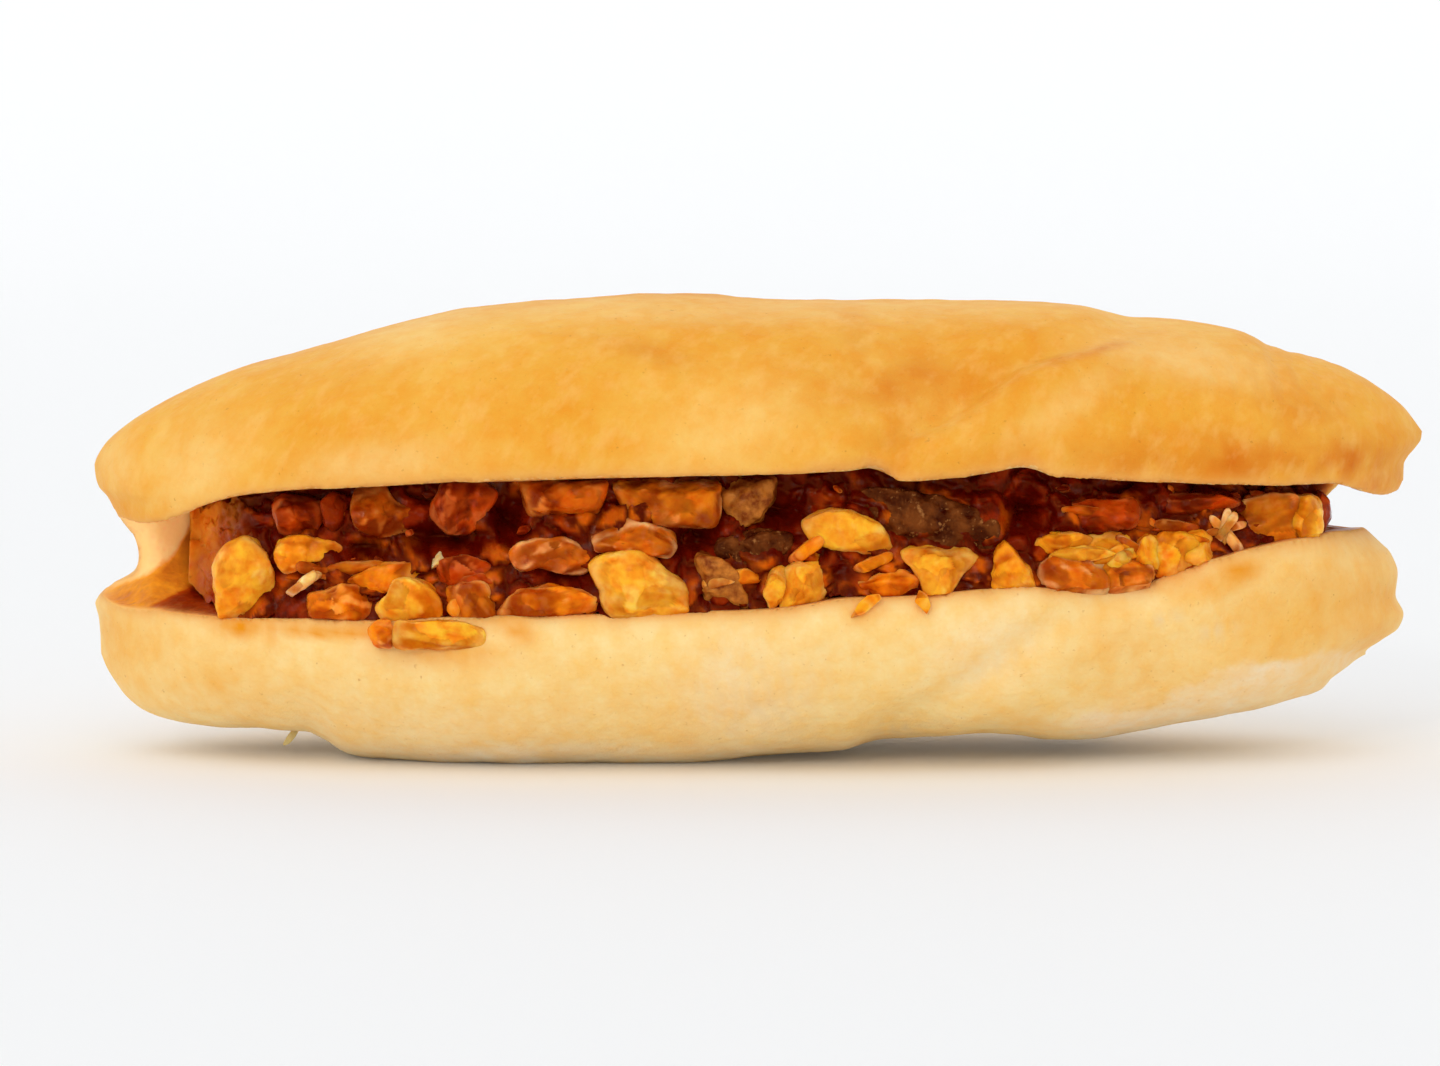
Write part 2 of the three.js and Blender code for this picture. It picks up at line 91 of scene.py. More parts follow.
def profile(knots):
    """A function through the knots: between two knots a cubic whose end slopes are the harmonic means of the
    slopes on both sides, or 0 at a peak or a valley. It is flat beyond the first and the last knot."""
    kx, ky = np.array(knots, float).T
    slope = np.diff(ky) / np.diff(kx)
    before, after = slope[:-1], slope[1:]
    same = before * after > 0
    mean = 2 * before * after / np.where(same, before + after, 1)
    tangent = np.concatenate([slope[:1], np.where(same, mean, 0), slope[-1:]])

    def at(x):
        x = np.clip(x, kx[0], kx[-1])
        i = np.clip(np.searchsorted(kx, x, side="right") - 1, 0, len(kx) - 2)
        step = kx[i + 1] - kx[i]
        t = (x - kx[i]) / step
        keep = (1 + 2 * t) * (1 - t) ** 2
        bend = t * (1 - t) ** 2 * step * tangent[i] - t * t * (1 - t) * step * tangent[i + 1]
        return keep * ky[i] + (1 - keep) * ky[i + 1] + bend

    return at


print("a profile that rises by 1 over 2 mm, after 1 mm:", float(profile([(0, 0), (2, 1), (4, 1)])(1.0)))

# %% [markdown]
# ## Noise from whole numbers
#
# Dough and meat are uneven at several scales. Blender's own noise takes one point at a time, so this one,
# which takes whole arrays, hashes the corners of a lattice and blends them. It gives the same values on
# every run.

# %% Value noise in three dimensions
BITS = 0xFFFFFFFF  # a mask that keeps 32 bits
STRAY = 0.42  # how far a cell's own point may lie off its middle, as a share of the cell


def lattice(cell, seed):
    """A repeatable number from -1 to 1 for each lattice corner. Its three whole numbers are multiplied by
    large odd numbers and added, and the bits are then mixed by shifts and further products."""
    h = cell @ np.array([0x1B873593, 0x05EBCA77, 0x12B2AE3D], np.int64) + seed * 0x27D4EB2F & BITS
    for shift, factor in ((15, 0x2C1B3C6D), (12, 0x297A2D39)):
        h = (h ^ h >> shift) * factor & BITS
    return (h ^ h >> 15) / BITS * 2 - 1


def noise(points, size, seed=0):
    """Noise with bumps of one size in mm: the eight corners round a point, weighted by smooth distances."""
    place = np.asarray(points) / size
    cell = np.floor(place).astype(np.int64)
    share = place - cell
    share = share * share * (3 - 2 * share)
    total = 0
    for corner in itertools.product((0, 1), repeat=3):
        weight = np.prod(np.where(corner, share, 1 - share), axis=-1)
        total = total + weight * lattice(cell + np.array(corner), seed)
    return total


def fractal(points, size, octaves, seed=0):
    """Noise added up over octaves, each half as large in size and in height as the one before."""
    return sum(noise(points, size / 2**n, seed + 7 * n) / 2**n for n in range(octaves))


def cells(points, size, seed=0):
    """For each point, the nearest of the scattered lattice points: the way from it, in units of size, its own
    random number, and how much farther off the second nearest is, which is 0 on the walls between cells."""
    place = np.asarray(points) / size
    corner = np.floor(place).astype(np.int64)
    near = np.full(place.shape[:-1], np.inf)
    second, pick, away = near, np.zeros_like(near), np.zeros_like(place)
    for step in itertools.product((-1, 0, 1), repeat=3):
        cell = corner + np.array(step)
        gap = place - cell - 0.5 - STRAY * np.stack([lattice(cell, seed + n) for n in range(3)], -1)
        distance = np.linalg.norm(gap, axis=-1)
        closer = distance < near
        second = np.where(closer, near, np.minimum(second, distance))
        pick = np.where(closer, lattice(cell, seed + 3), pick)
        away = np.where(closer[..., None], gap, away)
        near = np.where(closer, distance, near)
    return away, pick, second - near


print("noise of one point:", round(float(noise(np.array([[3.0, 4.0, 5.0]]), 2.0)[0]), 4))

# %% [markdown]
# ## From arrays to a mesh
#
# A shape here is a tuple of points, quads and triangles. `tube` closes a stack of rings with a fan at each
# end. `foreach_set` copies whole arrays into the mesh, which is far quicker than adding faces one by one.

# %% Meshes from whole arrays


def between_rings(count, sides):
    """Quads between each ring and the next, as indices into rings laid out one after another."""
    i, k = np.meshgrid(np.arange(count - 1), np.arange(sides), indexing="ij")
    a, b = i * sides + k, i * sides + (k + 1) % sides
    return np.stack([a, b, b + sides, a + sides], -1).reshape(-1, 4)


def outward(shape):
    """The shape with all its faces turned round if its volume, a sum of corner products, is negative."""
    points, quads, tris = shape
    split = np.concatenate([quads[:, [0, 1, 2]], quads[:, [0, 2, 3]], tris])
    a, b, c = (points[split[:, n]] for n in range(3))
    if np.sum(a * np.cross(b, c)) > 0:
        return shape
    return points, quads[:, ::-1], tris[:, ::-1]


def tube(rings, tips=None):
    """A closed shape through rings, an array of shape (count, sides, 3), with a fan of triangles to a tip at
    each end."""
    count, sides = rings.shape[:2]
    tips = tips if tips is not None else (rings[0].mean(0), rings[-1].mean(0))
    points = np.concatenate([rings.reshape(-1, 3), tips])
    k = np.arange(sides)
    after, last = (k + 1) % sides, (count - 1) * sides
    first_fan = np.stack([after, k, np.full(sides, count * sides)], -1)
    last_fan = np.stack([k + last, after + last, np.full(sides, count * sides + 1)], -1)
    return outward((points, between_rings(count, sides), np.concatenate([first_fan, last_fan])))


def joined(shapes):
    """Several shapes as one, each one's indices moved up by the points before it."""
    starts = np.cumsum([0] + [len(points) for points, _, _ in shapes])
    return tuple(
        np.concatenate([part[n] + (start if n else 0) for part, start in zip(shapes, starts)])
        for n in range(3)
    )


def piece_from(name, shape):
    """A Blender object at the origin whose mesh holds the shape, given in mm."""
    points, quads, tris = shape
    mesh = bpy.data.meshes.new(name)
    corners = np.concatenate([quads.ravel(), tris.ravel()]).astype(np.int32)
    sizes = np.concatenate([np.full(len(quads), 4), np.full(len(tris), 3)])
    mesh.vertices.add(len(points))
    mesh.vertices.foreach_set("co", (points * MM).astype(np.float32).ravel())
    mesh.loops.add(len(corners))
    mesh.loops.foreach_set("vertex_index", corners)
    mesh.polygons.add(len(sizes))
    mesh.polygons.foreach_set("loop_start", (np.cumsum(sizes) - sizes).astype(np.int32))
    mesh.update(calc_edges=True)
    mesh.shade_smooth()
    piece = bpy.data.objects.new(name, mesh)
    bpy.context.scene.collection.objects.link(piece)
    return piece


def points_of(mesh):
    """The mesh's vertices in mm, as an array of shape (count, 3)."""
    place = np.empty(len(mesh.vertices) * 3, np.float32)
    mesh.vertices.foreach_get("co", place)
    return place.reshape(-1, 3).astype(float) / MM


def paint(mesh, name, values):
    """Stores one number, or one linear colour, for each vertex under a name that a material can read."""
    colour = np.ndim(values) == 2
    layer = mesh.attributes.new(name, "FLOAT_COLOR" if colour else "FLOAT", "POINT")
    if colour:
        values = np.concatenate([values, np.ones((len(values), 1))], axis=1)
    layer.data.foreach_set("color" if colour else "value", np.ravel(values).astype(np.float32))


print("quads of a tube with 3 rings of 4 points:", len(between_rings(3, 4)))

# %% [markdown]
# ## Colours and nodes
#
# Colours are picked as sRGB hex values, because that is what a screen shows. Shaders count in linear light,
# so one function turns them. One more function adds a node with its settings and its links, and gives back
# the output that the next node needs.

# %% Colour and node helpers


def linear(hex_colour):
    """The linear red, green and blue of an sRGB hex value: the inverse of the sRGB curve for each channel."""
    value = np.array([int(hex_colour[n : n + 2], 16) for n in (1, 3, 5)]) / 255
    return np.where(value <= 0.04045, value / 12.92, ((value + 0.055) / 1.055) ** 2.4)


def rgba(hex_colour):
    """The same colour with full opacity, as a node's socket wants it."""
    return (*linear(hex_colour), 1.0)


def set_inputs(tree, node, inputs):
    """Links each input that is given as another node's output, and sets the others. Hex colours are turned to
    linear light first."""
    for socket, value in inputs.items():
        if isinstance(value, bpy.types.NodeSocket):
            tree.links.new(value, node.inputs[socket])
        else:
            node.inputs[socket].default_value = rgba(value) if isinstance(value, str) else value


def add_node(tree, kind, inputs=None, out=0, **settings):
    """Adds one node and returns one of its outputs, if it has any. Settings are the node's own properties,
    and inputs are values, hex colours or other nodes' outputs, by socket."""
    node = tree.nodes.new(kind)
    for name, value in settings.items():
        setattr(node, name, value)
    set_inputs(tree, node, inputs or {})
    return node.outputs[out] if node.outputs else None


def new_material(name):
    """An empty node material: its tree, its Principled shader and its Object coordinates."""
    material = bpy.data.materials.new(name)
    material.use_nodes = True
    tree = material.node_tree
    tree.nodes.clear()
    surface = add_node(tree, "ShaderNodeBsdfPrincipled")
    add_node(tree, "ShaderNodeOutputMaterial", {"Surface": surface})
    return material, tree, surface.node, add_node(tree, "ShaderNodeTexCoord", out="Object")


def per_mm(size):
    """The noise scale that gives bumps of this many mm, as Object coordinates are in metres."""
    return 1 / (size * MM)


NOISE, FIELD, BUMP = "ShaderNodeTexNoise", "ShaderNodeAttribute", "ShaderNodeBump"
RANGE = "ShaderNodeMapRange"  # brings input 0 from the span of inputs 1 and 2 onto the span of 3 and 4
MIX, MIX_A, MIX_B = "ShaderNodeMix", 6, 7  # and the sockets of its two colours
COLOUR = {"out": 2, "data_type": "RGBA"}  # makes a Mix node blend colours, and takes its colour output
print("mid grey in linear light:", linear("#808080").round(3))

# %% [markdown]
# ## The roll's outline
#
# The roll is described as the photo shows it, in mm: how high its crown and its sole are along its length,
# where the cut's two edges run, and how deep the cut goes. The solid model is made from the same named
# values, so the two fit each other everywhere.

# %% Sizes of the roll
HALF_LENGTH, HALF_WIDTH = 105, 38  # mm
TAPER_START, TAPER_ROUND = 2.6, 1.8  # how long the full width lasts, and how blunt the ends are
CROWN_FULLNESS, SOLE_FULLNESS = 2.35, 2.7  # superellipse powers of the section
BASE_BULGE = {"height": 15, "spread": 9, "swell": 1.2}  # mm, how high up the base swells, and by how much
EDGE_ROLL = {"depth": 1.7, "reach": 2.6}  # mm, how far the crust rolls in at the cut, and from how far off
END_FADE = 12  # mm, over which the relief fades out at both ends
DRAW_LENGTH = 22  # mm, over which an end is drawn in by LEFT_DRAW or RIGHT_DRAW at its height

CROWN = profile([
    (-105, 45.4), (-104.4, 46.9), (-102.6, 49.5), (-97.8, 53.3), (-91.5, 56.4), (-82, 60.2), (-72.5, 63.1),
    (-56.7, 67.5), (-44, 70.7), (-33, 72.1), (-20, 72.2), (-9, 71.9), (5, 71.4), (18, 71.4), (30, 71.7),
    (40, 72), (50, 70.9), (60, 68.4), (69, 67.6), (76, 66.4), (81, 64), (89, 61.8), (95.3, 59.2),
    (101.6, 55), (105, 50.7),
])
SOLE = profile([
    (-105, 15.5), (-104, 13.2), (-102.5, 11), (-100.7, 8.9), (-98, 7.1), (-95, 6.1), (-90, 5.1), (-80, 4.1),
    (-74, 3.3), (-71, 3.2), (-68, 1.9), (-64.5, -0.1), (-60, -0.6), (-45, -0.6), (-36, -1.2), (-12, -1.2),
    (0, -0.5), (8, 0.1), (13, 0.9), (17.5, 2.6), (22, 4), (27, 4.9), (33, 4.8), (40, 3.8), (46, 2.8),
    (52, 2.9), (58, 3.8), (66, 5.1), (72.5, 5.9), (80, 7.4), (84, 8.8), (90, 10.5), (98, 12.6), (105, 15.3),
])
EQUATOR = profile([(-105, 33), (0, 34), (105, 37)])
LEFT_DRAW = profile([
    (10, 0.9), (18, 0.8), (21, 0.6), (24, 0), (26.5, 2.2), (28.5, 6.2), (31, 7), (34, 6.3), (36.6, 4),
    (38, 3.4), (40.5, 2.1), (42, 0.8), (43.5, 0.3), (46, 0),
])
RIGHT_DRAW = profile([
    (12, 10), (14, 8.6), (15.6, 8.6), (17.6, 6.2), (19.7, 3.4), (21.8, 2.7), (24.9, 4), (28.3, 3.7),
    (31.4, 4.8), (33.5, 6.6), (36, 9), (39, 7.4), (40.5, 5), (41.8, 3.5), (43, 3), (45.6, 2.9), (46.8, 2.3),
    (48.1, 1.2), (49.6, 0.2), (51, 0),
])
print("height in the middle, mm:", round(float(CROWN(0) - SOLE(0)), 1))

# %% Edges and depth of the cut
LID_EDGE = profile([
    (-105, 40), (-101, 37.4), (-97, 36.6), (-92, 37.9), (-86, 40.6), (-80, 42.6), (-69, 43.9), (-41, 45.4),
    (-9, 46.3), (12, 47), (17.5, 47.9), (20.5, 45.7), (32, 46.2), (37, 47.2), (40.5, 47.9), (45, 46),
    (57, 45.2), (84, 44.2), (89, 44.3), (94, 42.3), (98, 41.3), (105, 42),
])
BASE_EDGE = profile([
    (-105, 25.4), (-102, 24.2), (-98, 23.4), (-88, 23.2), (-82, 23.2), (-72, 23.6), (-64, 23.8),
    (-60, 23.4), (-50, 24.4), (-19, 25.1), (6, 26.4), (13, 27.6), (22, 27.8), (41, 29.2), (46, 28.6),
    (59, 29.4), (64, 31.2), (70, 33), (80, 35.1), (88, 36.3), (105, 36.8),
])
LID_HINGE = profile([(-105, 37), (-80, 39.5), (0, 41.5), (60, 42.5), (105, 42)])
BASE_HINGE = profile([(-105, 26), (-90, 28.5), (-70, 30), (0, 32), (50, 34), (80, 35), (105, 33.5)])
HINGE_THICK = profile([
    (-105, 0), (-101, 12), (-98, 19), (-94, 24), (-90, 24), (-86, 19), (-80, 14.5), (-75, 12), (-64, 10.5),
    (0, 11), (70, 9.6), (84, 8.6), (91.5, 7.2), (95.5, 2), (99.5, -3), (105, -4),
])
CUT_SAG = 1.5  # above 1, so the cut's faces curve more towards the hinge
HINGE_ROUND = 2.6  # mm, how far the inside of the hinge bulges back
CUT_REACH = 12  # mm, how far the cutter stands out of the open side
LEAST_WAY_IN = 6  # mm, so that the cut's faces stay smooth at the roll's narrow ends


def half_width(x):
    """Half the roll's width: a superellipse over the length, which closes in a rounded end."""
    share = np.minimum(1, np.abs(x) / HALF_LENGTH)
    return HALF_WIDTH * (1 - share**TAPER_START) ** (1 / TAPER_ROUND)


def open_y(x):
    """Where the roll's open side is at x."""
    return -half_width(x)


def hinge_y(x):
    """Where the inside of the hinge is at x."""
    return half_width(x) - HINGE_THICK(x)


def way_in(x, y):
    """The share of the way in from the open side to the hinge."""
    return np.clip((y - open_y(x)) / np.maximum(LEAST_WAY_IN, hinge_y(x) - open_y(x)), 0, 1)


def base_cut(x, y):
    """Height of the base's cut face, which curves towards the hinge."""
    return BASE_EDGE(x) + (BASE_HINGE(x) - BASE_EDGE(x)) * way_in(x, y) ** CUT_SAG


def lid_cut(x, y):
    """Height of the lid's cut face."""
    return LID_EDGE(x) + (LID_HINGE(x) - LID_EDGE(x)) * way_in(x, y) ** CUT_SAG


print("depth of the cut in the middle, mm:", round(float(hinge_y(0) - open_y(0)), 1))

# %% [markdown]
# ## Folds, dents and wrinkles
#
# Soft dough keeps the marks of the baker's hands and of the oven. The lid has one slanting fold with a
# swollen lip, and the base has a softer one. They could be sculpted by hand. As heights above the smooth
# form, each a function of the place seen from the open side, they can be moved or deepened by one number.
# Wrinkles and dimples are too small for the solid model, so they are made only here.

# %% Relief of the crust
LID_FOLD = {
    "path": [(17.4, 46), (19.3, 51), (22.5, 54), (28, 56.3), (33.6, 60.4), (39, 64.3), (47.8, 66.4),
             (57, 67.6),
             (67, 69)],
    "valley": 2.2, "wide": 2.0, "lip": 1.4, "lip_at": 5.2, "lip_wide": 4, "fade": 0.35,
}
BASE_FOLD = {
    "path": [(66, 33), (60, 30), (54, 27), (44.6, 23.3), (36.7, 17.8), (27.2, 12.4), (19.3, 7.5), (14, 2)],
    "valley": 1.1, "wide": 2.8, "lip": 0.8, "lip_at": -5.5, "lip_wide": 4.4, "fade": 0.2,
}
DENTS = [  # x, z, half widths along x and z, depth
    (22.5, 62, 14, 8, 2.3),
    (52, 17, 13, 8, 1.4),
    (-62, 50, 4, 9, -0.7),
]
DOUGH_WAVES = [(0.45, 0.085, 1, 0), (0.3, 0.17, -2, 1)]  # height, radians a mm, turns round, start
WRINKLES = [  # x, z, half widths along x and z, height, spacing in mm
    (-1, 13, 7, 8, 0.13, 2.9),
    (-58, 12, 9, 6, 0.16, 3.1),
    (78, 60, 12, 5, 0.15, 3.4),
]
DIMPLE, DIMPLE_SIZE = 0.16, 7  # mm, height and size of the soft dimples
GRAIN, GRAIN_SIZE = 0.05, 1.6  # mm, height and size of the skin's grain
RIPPLE_LEAN = 0.12  # how far a ripple leans along the roll for each mm of height
FLAT_TOP = 1.5  # above 1, so the middle of a dent is flatter than a bell's
MARKS_TO, MARKS_FADE = 12, 16  # mm, folds and dents end this far behind the middle, and fade over this length


def from_path(path, x, z):
    """Signed distance from a side-view path, positive below it and to its right, and the share of the way
    along it. Each leg of the path is tried in turn, and the nearest one wins."""
    far = np.full(np.shape(x), np.inf)
    off, along = np.zeros_like(far), np.zeros_like(far)
    for i, ((ax, az), (bx, bz)) in enumerate(zip(path[:-1], path[1:])):
        dx, dz = bx - ax, bz - az
        t = np.clip(((x - ax) * dx + (z - az) * dz) / (dx * dx + dz * dz), 0, 1)
        ox, oz = x - ax - t * dx, z - az - t * dz
        near = np.hypot(ox, oz)
        closer = near < far
        off = np.where(closer, np.where(ox * dz - oz * dx >= 0, near, -near), off)
        along = np.where(closer, (i + t) / (len(path) - 1), along)
        far = np.where(closer, near, far)
    return off, along


def fold(shape, x, z):
    """A valley along the path with a swollen lip beside it, both fading towards its far end."""
    off, along = from_path(shape["path"], x, z)
    lip = shape["lip"] * bell((off - shape["lip_at"]) / shape["lip_wide"])
    valley = shape["valley"] * bell(off / shape["wide"])
    return smooth((1 - along) / shape["fade"]) * (lip - valley)


def soft_oval(x, z, cx, cz, rx, rz):
    """1 in the middle of an oval and nearly 0 beyond twice its size: the bell of a power of the distance."""
    return bell(np.hypot((x - cx) / rx, (z - cz) / rz) ** FLAT_TOP)


def dent(x, z, row):
    """A rounded dent, or a swelling where its depth is negative."""
    *oval, depth = row
    return -depth * soft_oval(x, z, *oval)


def wrinkle(x, z, row):
    """Upright ripples inside a soft oval: a sine across, times the oval."""
    cx, cz, rx, rz, height, spacing = row
    inside = soft_oval(x, z, cx, cz, rx, rz)
    return height * inside * np.sin(2 * np.pi * (x - cx + RIPPLE_LEAN * (z - cz)) / spacing)


def relief(x, y, z, angle):
    """Outward height of the crust: folds, dents and wrinkles on the open side, soft waves of dough, dimples
    and grain all round, the base's bulge, and the crust rolling in towards the cut. It fades out at both
    ends."""
    shown = smooth((MARKS_TO - y) / MARKS_FADE)
    marks = fold(LID_FOLD, x, z) + fold(BASE_FOLD, x, z)
    marks = marks + sum(dent(x, z, row) for row in DENTS) + sum(wrinkle(x, z, row) for row in WRINKLES)
    to_cut = np.maximum(0, np.maximum(z - LID_EDGE(x), BASE_EDGE(x) - z))
    rolled = np.where(y < 0, EDGE_ROLL["depth"] * np.exp(-to_cut / EDGE_ROLL["reach"]), 0)
    bulge = BASE_BULGE["swell"] * bell((z - BASE_BULGE["height"]) / BASE_BULGE["spread"])
    dough = sum(high * np.sin(along * x + turns * angle + start) for high, along, turns, start in DOUGH_WAVES)
    place = np.stack(np.broadcast_arrays(x, y, z), -1)
    skin = DIMPLE * fractal(place, DIMPLE_SIZE, 2, 3) + GRAIN * fractal(place, GRAIN_SIZE, 2, 5)
    fade = smooth((HALF_LENGTH - np.abs(x)) / END_FADE)
    return fade * (shown * marks + dough + bulge - rolled + skin)


print("height of the lid's fold in its valley, mm:", round(float(fold(LID_FOLD, 28.0, 56.3)), 2))

# %% [markdown]
# ## The crust
#
# The crust is one surface of two parameters: the place along the roll and the angle round it. Its section
# is a superellipse, fuller below than above, pushed out by the relief. A fan of triangles would pinch at
# the two blunt ends, so the last ring is zipped shut there, front to back.

# %% The crust as a surface
STATIONS, SIDES = 290, 240
END_SPREAD = 0.3  # share of even steps along the roll; the rest is denser towards the ends
END_GAP = 0.05  # mm, the last station stops this short of the tip


def crust_point(x, angle):
    """A point of the crust: a superellipse round the equator's height, pushed outwards by the relief, kept
    above the table, and drawn in at both ends by an amount that depends on its height."""
    c, s = np.cos(angle), np.sin(angle)
    above = s >= 0
    power = np.where(above, 2 / CROWN_FULLNESS, 2 / SOLE_FULLNESS)
    rise = np.where(above, CROWN(x) - EQUATOR(x), EQUATOR(x) - SOLE(x))
    y = -half_width(x) * signed_power(c, power)
    z = rise * signed_power(s, power)
    out = 1 + relief(x + 0 * y, y, z + EQUATOR(x), angle + 0 * y) / np.maximum(1, np.hypot(y, z))
    y = y * out
    z = np.maximum(z * out + EQUATOR(x), 0)
    drawn = smooth(1 - (HALF_LENGTH - np.abs(x)) / DRAW_LENGTH) * np.where(x < 0, LEFT_DRAW(z), RIGHT_DRAW(z))
    return np.stack([x - np.sign(x) * drawn, y, z], -1)


def crust_shape():
    """The crust as a closed shape that still fills the cut. At each end the front half of the last ring is
    zipped to the back half at the same height."""
    t = np.linspace(-1, 1, STATIONS)[:, None]
    x = (HALF_LENGTH - END_GAP) * (END_SPREAD * t + (1 - END_SPREAD) * np.sin(np.pi / 2 * t))
    rings = crust_point(x, np.arange(SIDES)[None, :] * 2 * np.pi / SIDES)
    quarter = SIDES // 4
    i = np.arange(1 - quarter, quarter - 1)
    zips = np.stack([i, i + 1, SIDES // 2 - i - 1, SIDES // 2 - i], -1) % SIDES
    tips = np.array([[1 - quarter, SIDES // 2 + quarter - 1, -quarter], [quarter, quarter + 1, quarter - 1]])
    last = (STATIONS - 1) * SIDES
    quads = np.concatenate([between_rings(STATIONS, SIDES), zips[:, ::-1], zips + last])
    tris = np.concatenate([(tips % SIDES)[:, ::-1], tips % SIDES + last])
    return outward((rings.reshape(-1, 3), quads, tris))


crust = crust_shape()
print("crust:", len(crust[0]), "points, from", crust[0].min(0).round(2), "to", crust[0].max(0).round(2))

# %% [markdown]
# ## The cut
#
# The knife went in from the open side and stopped before the back, which is the hinge. The cut is a solid
# of its own: a base face, a rounded inside of the hinge and a lid face. Torn crumb makes both faces uneven.
# A Boolean takes it out of the roll, so the crust can stay one plain surface. Its MANIFOLD solver is quick
# and exact on closed meshes.

# %% The space of the cut
CUT_STATIONS, CUT_STEPS, HINGE_STEPS = 190, 46, 9
TORN, CALM = 0.38, 4  # mm, unevenness of the torn crumb, and how far in from the open side it is at its full
TORN_SIZE = 5  # mm
RIM_SPARE = 0.35  # mm, what is left on both edges of the cut, because rounding the rim takes it away
CUT_PAST = 4  # mm, how far the cutter passes the roll's ends


def cut_shape():
    """Rings along the roll: in along the base face, round the inside of the hinge, and out along the lid
    face. Noise lifts both faces, but not at the rim."""
    x = np.linspace(-HALF_LENGTH - CUT_PAST, HALF_LENGTH + CUT_PAST, CUT_STATIONS)[:, None]
    back, front = hinge_y(x), open_y(x) - CUT_REACH
    y = front + (back - front) * np.linspace(0, 1, CUT_STEPS)[None, :]
    inner = smooth((y - open_y(x) - 1) / CALM)

    def torn(face, spare, seed):
        rough = fractal(np.stack([x + 0 * y, y, face], -1), TORN_SIZE, 3, seed)
        return face + spare * (1 - inner) + TORN * inner * rough

    low, high = torn(base_cut(x, y), RIM_SPARE, 11), torn(lid_cut(x, y), -RIM_SPARE, 12)
    turn = np.linspace(-np.pi / 2, np.pi / 2, HINGE_STEPS)[None, 1:-1]
    arc_y = back + HINGE_ROUND * np.cos(turn)
    arc_z = (low[:, -1:] + high[:, -1:]) / 2 + np.sin(turn) * (high[:, -1:] - low[:, -1:]) / 2
    ys = np.concatenate([y, arc_y, y[:, ::-1]], 1)
    zs = np.concatenate([low, arc_z, high[:, ::-1]], 1)
    return tube(np.stack([x + 0 * ys, ys, zs], -1))


def cut_away(piece, cutter):
    """Takes the cutter out of the piece and keeps the result as the piece's own mesh."""
    modifier = piece.modifiers.new("cut", "BOOLEAN")
    modifier.operation = "DIFFERENCE"
    modifier.solver = "MANIFOLD"
    modifier.material_mode = "TRANSFER"
    modifier.object = cutter
    bpy.context.view_layer.update()
    result = bpy.data.meshes.new_from_object(piece.evaluated_get(bpy.context.evaluated_depsgraph_get()))
    piece.modifiers.clear()
    piece.data = result
    bpy.data.objects.remove(cutter)


print("cutter:", CUT_STATIONS, "rings of", 2 * CUT_STEPS + HINGE_STEPS - 2, "points")

# %% [markdown]
# ## Finish of the bread
#
# Samoli crust is thin and matt. It is golden where the oven browned it and cream where it touched its
# neighbours or the tray, with toasted patches, loose flour, tiny specks and a darker rim where the knife
# left it. Some of its marks are painted light: greyish ripples and dimples and the lid's fold crease are
# painted shade, and the lid's top, its swollen lobes and a lip beside the base's fold carry painted
# highlights. Crumb is pale and full of pores, and it drinks the sauce. Both are starch, with an IOR near
# 1.4 and hardly any gloss, and light goes a little way in, so both have some subsurface scattering. The
# marks are fields stored on the vertices, so that they stay where the form has them, and noise breaks them
# up. At the left end the bread behind the cut is so thin that daylight comes through it, and a faint
# painted glow, an emission, stands for that light.

# %% Material of the crust
crust_finish, tree, shader, place = new_material("baked_samoli_crust")
slanted = add_node(
    tree, "ShaderNodeMapping", {"Vector": place, "Rotation": (0, np.radians(28), 0), "Scale": (0.85, 1, 1.5)},
    vector_type="TEXTURE",
)
GRAINS = {  # where it lies, size of the bumps in mm, detail, roughness
    "broad": (place, 26, 3, 0.55), "mottle": (place, 3.8, 4, 0.62), "fine": (place, 0.9, 3, 0.6),
    "patches": (slanted, 3.6, 3, 0.6),
}
SHOWS = {  # between which values each noise starts to show, and how strongly it then does
    "broad": (0.35, 0.68, 1), "mottle": (0.35, 0.7, 1), "fine": (0.33, 0.23, 0.5),
    "patches": (0.48, 0.74, 0.28),
}
noises, shares = {}, {}
for name, (where, size, detail, rough) in GRAINS.items():
    low, high, top = SHOWS[name]
    sockets = {"Vector": where, "Scale": per_mm(size), "Detail": detail, "Roughness": rough}
    noises[name] = add_node(tree, NOISE, sockets)
    shares[name] = add_node(tree, RANGE, {0: noises[name], 1: low, 2: high, 4: top})
for name in ("pale", "flour_and_highlight", "toast_and_crease_shade", "ash", "edge", "stain"):
    shares[name] = add_node(tree, FIELD, out="Fac", attribute_name=name)
# Among these fields, the greyish ripple field is painted shade, the toasted field holds painted shade along
# the lid's fold, and the pale and floury fields hold painted highlights as well as paler crust and flour.
LAYERS = {  # the colour that each field or noise brings, one over the other
    "broad": "#F5BB50", "pale": "#FEE09C", "flour_and_highlight": "#FBE8CA", "toast_and_crease_shade": "#D67208", "mottle": "#FFEDCB",
    "patches": "#FFD27E", "fine": "#B9701F", "ash": "#EAD0A4", "edge": "#EDB062", "stain": "#EC9410",
}
colour = "#EEA732"
for name, brought in LAYERS.items():
    blend = "MULTIPLY" if name == "mottle" else "MIX"
    colour = add_node(tree, MIX, {0: shares[name], MIX_A: colour, MIX_B: brought}, blend_type=blend, **COLOUR)
skin = add_node(tree, BUMP, {"Height": noises["fine"], "Strength": 0.35, "Distance": 0.25 * MM})
soft = {"Height": noises["mottle"], "Strength": 0.5, "Distance": 0.9 * MM, "Normal": skin}
set_inputs(tree, shader, {
    "Base Color": colour, "Roughness": add_node(tree, RANGE, {0: shares["stain"], 3: 0.56, 4: 0.3}),
    "Normal": add_node(tree, BUMP, soft), "IOR": 1.4, "Specular IOR Level": 0.3, "Specular Tint": "#FFE2B4",
    "Subsurface Weight": 0.12, "Subsurface Radius": (1.0, 0.55, 0.25), "Subsurface Scale": 1.6 * MM,
})
print("finish:", crust_finish.name, "with", len(tree.nodes), "nodes")

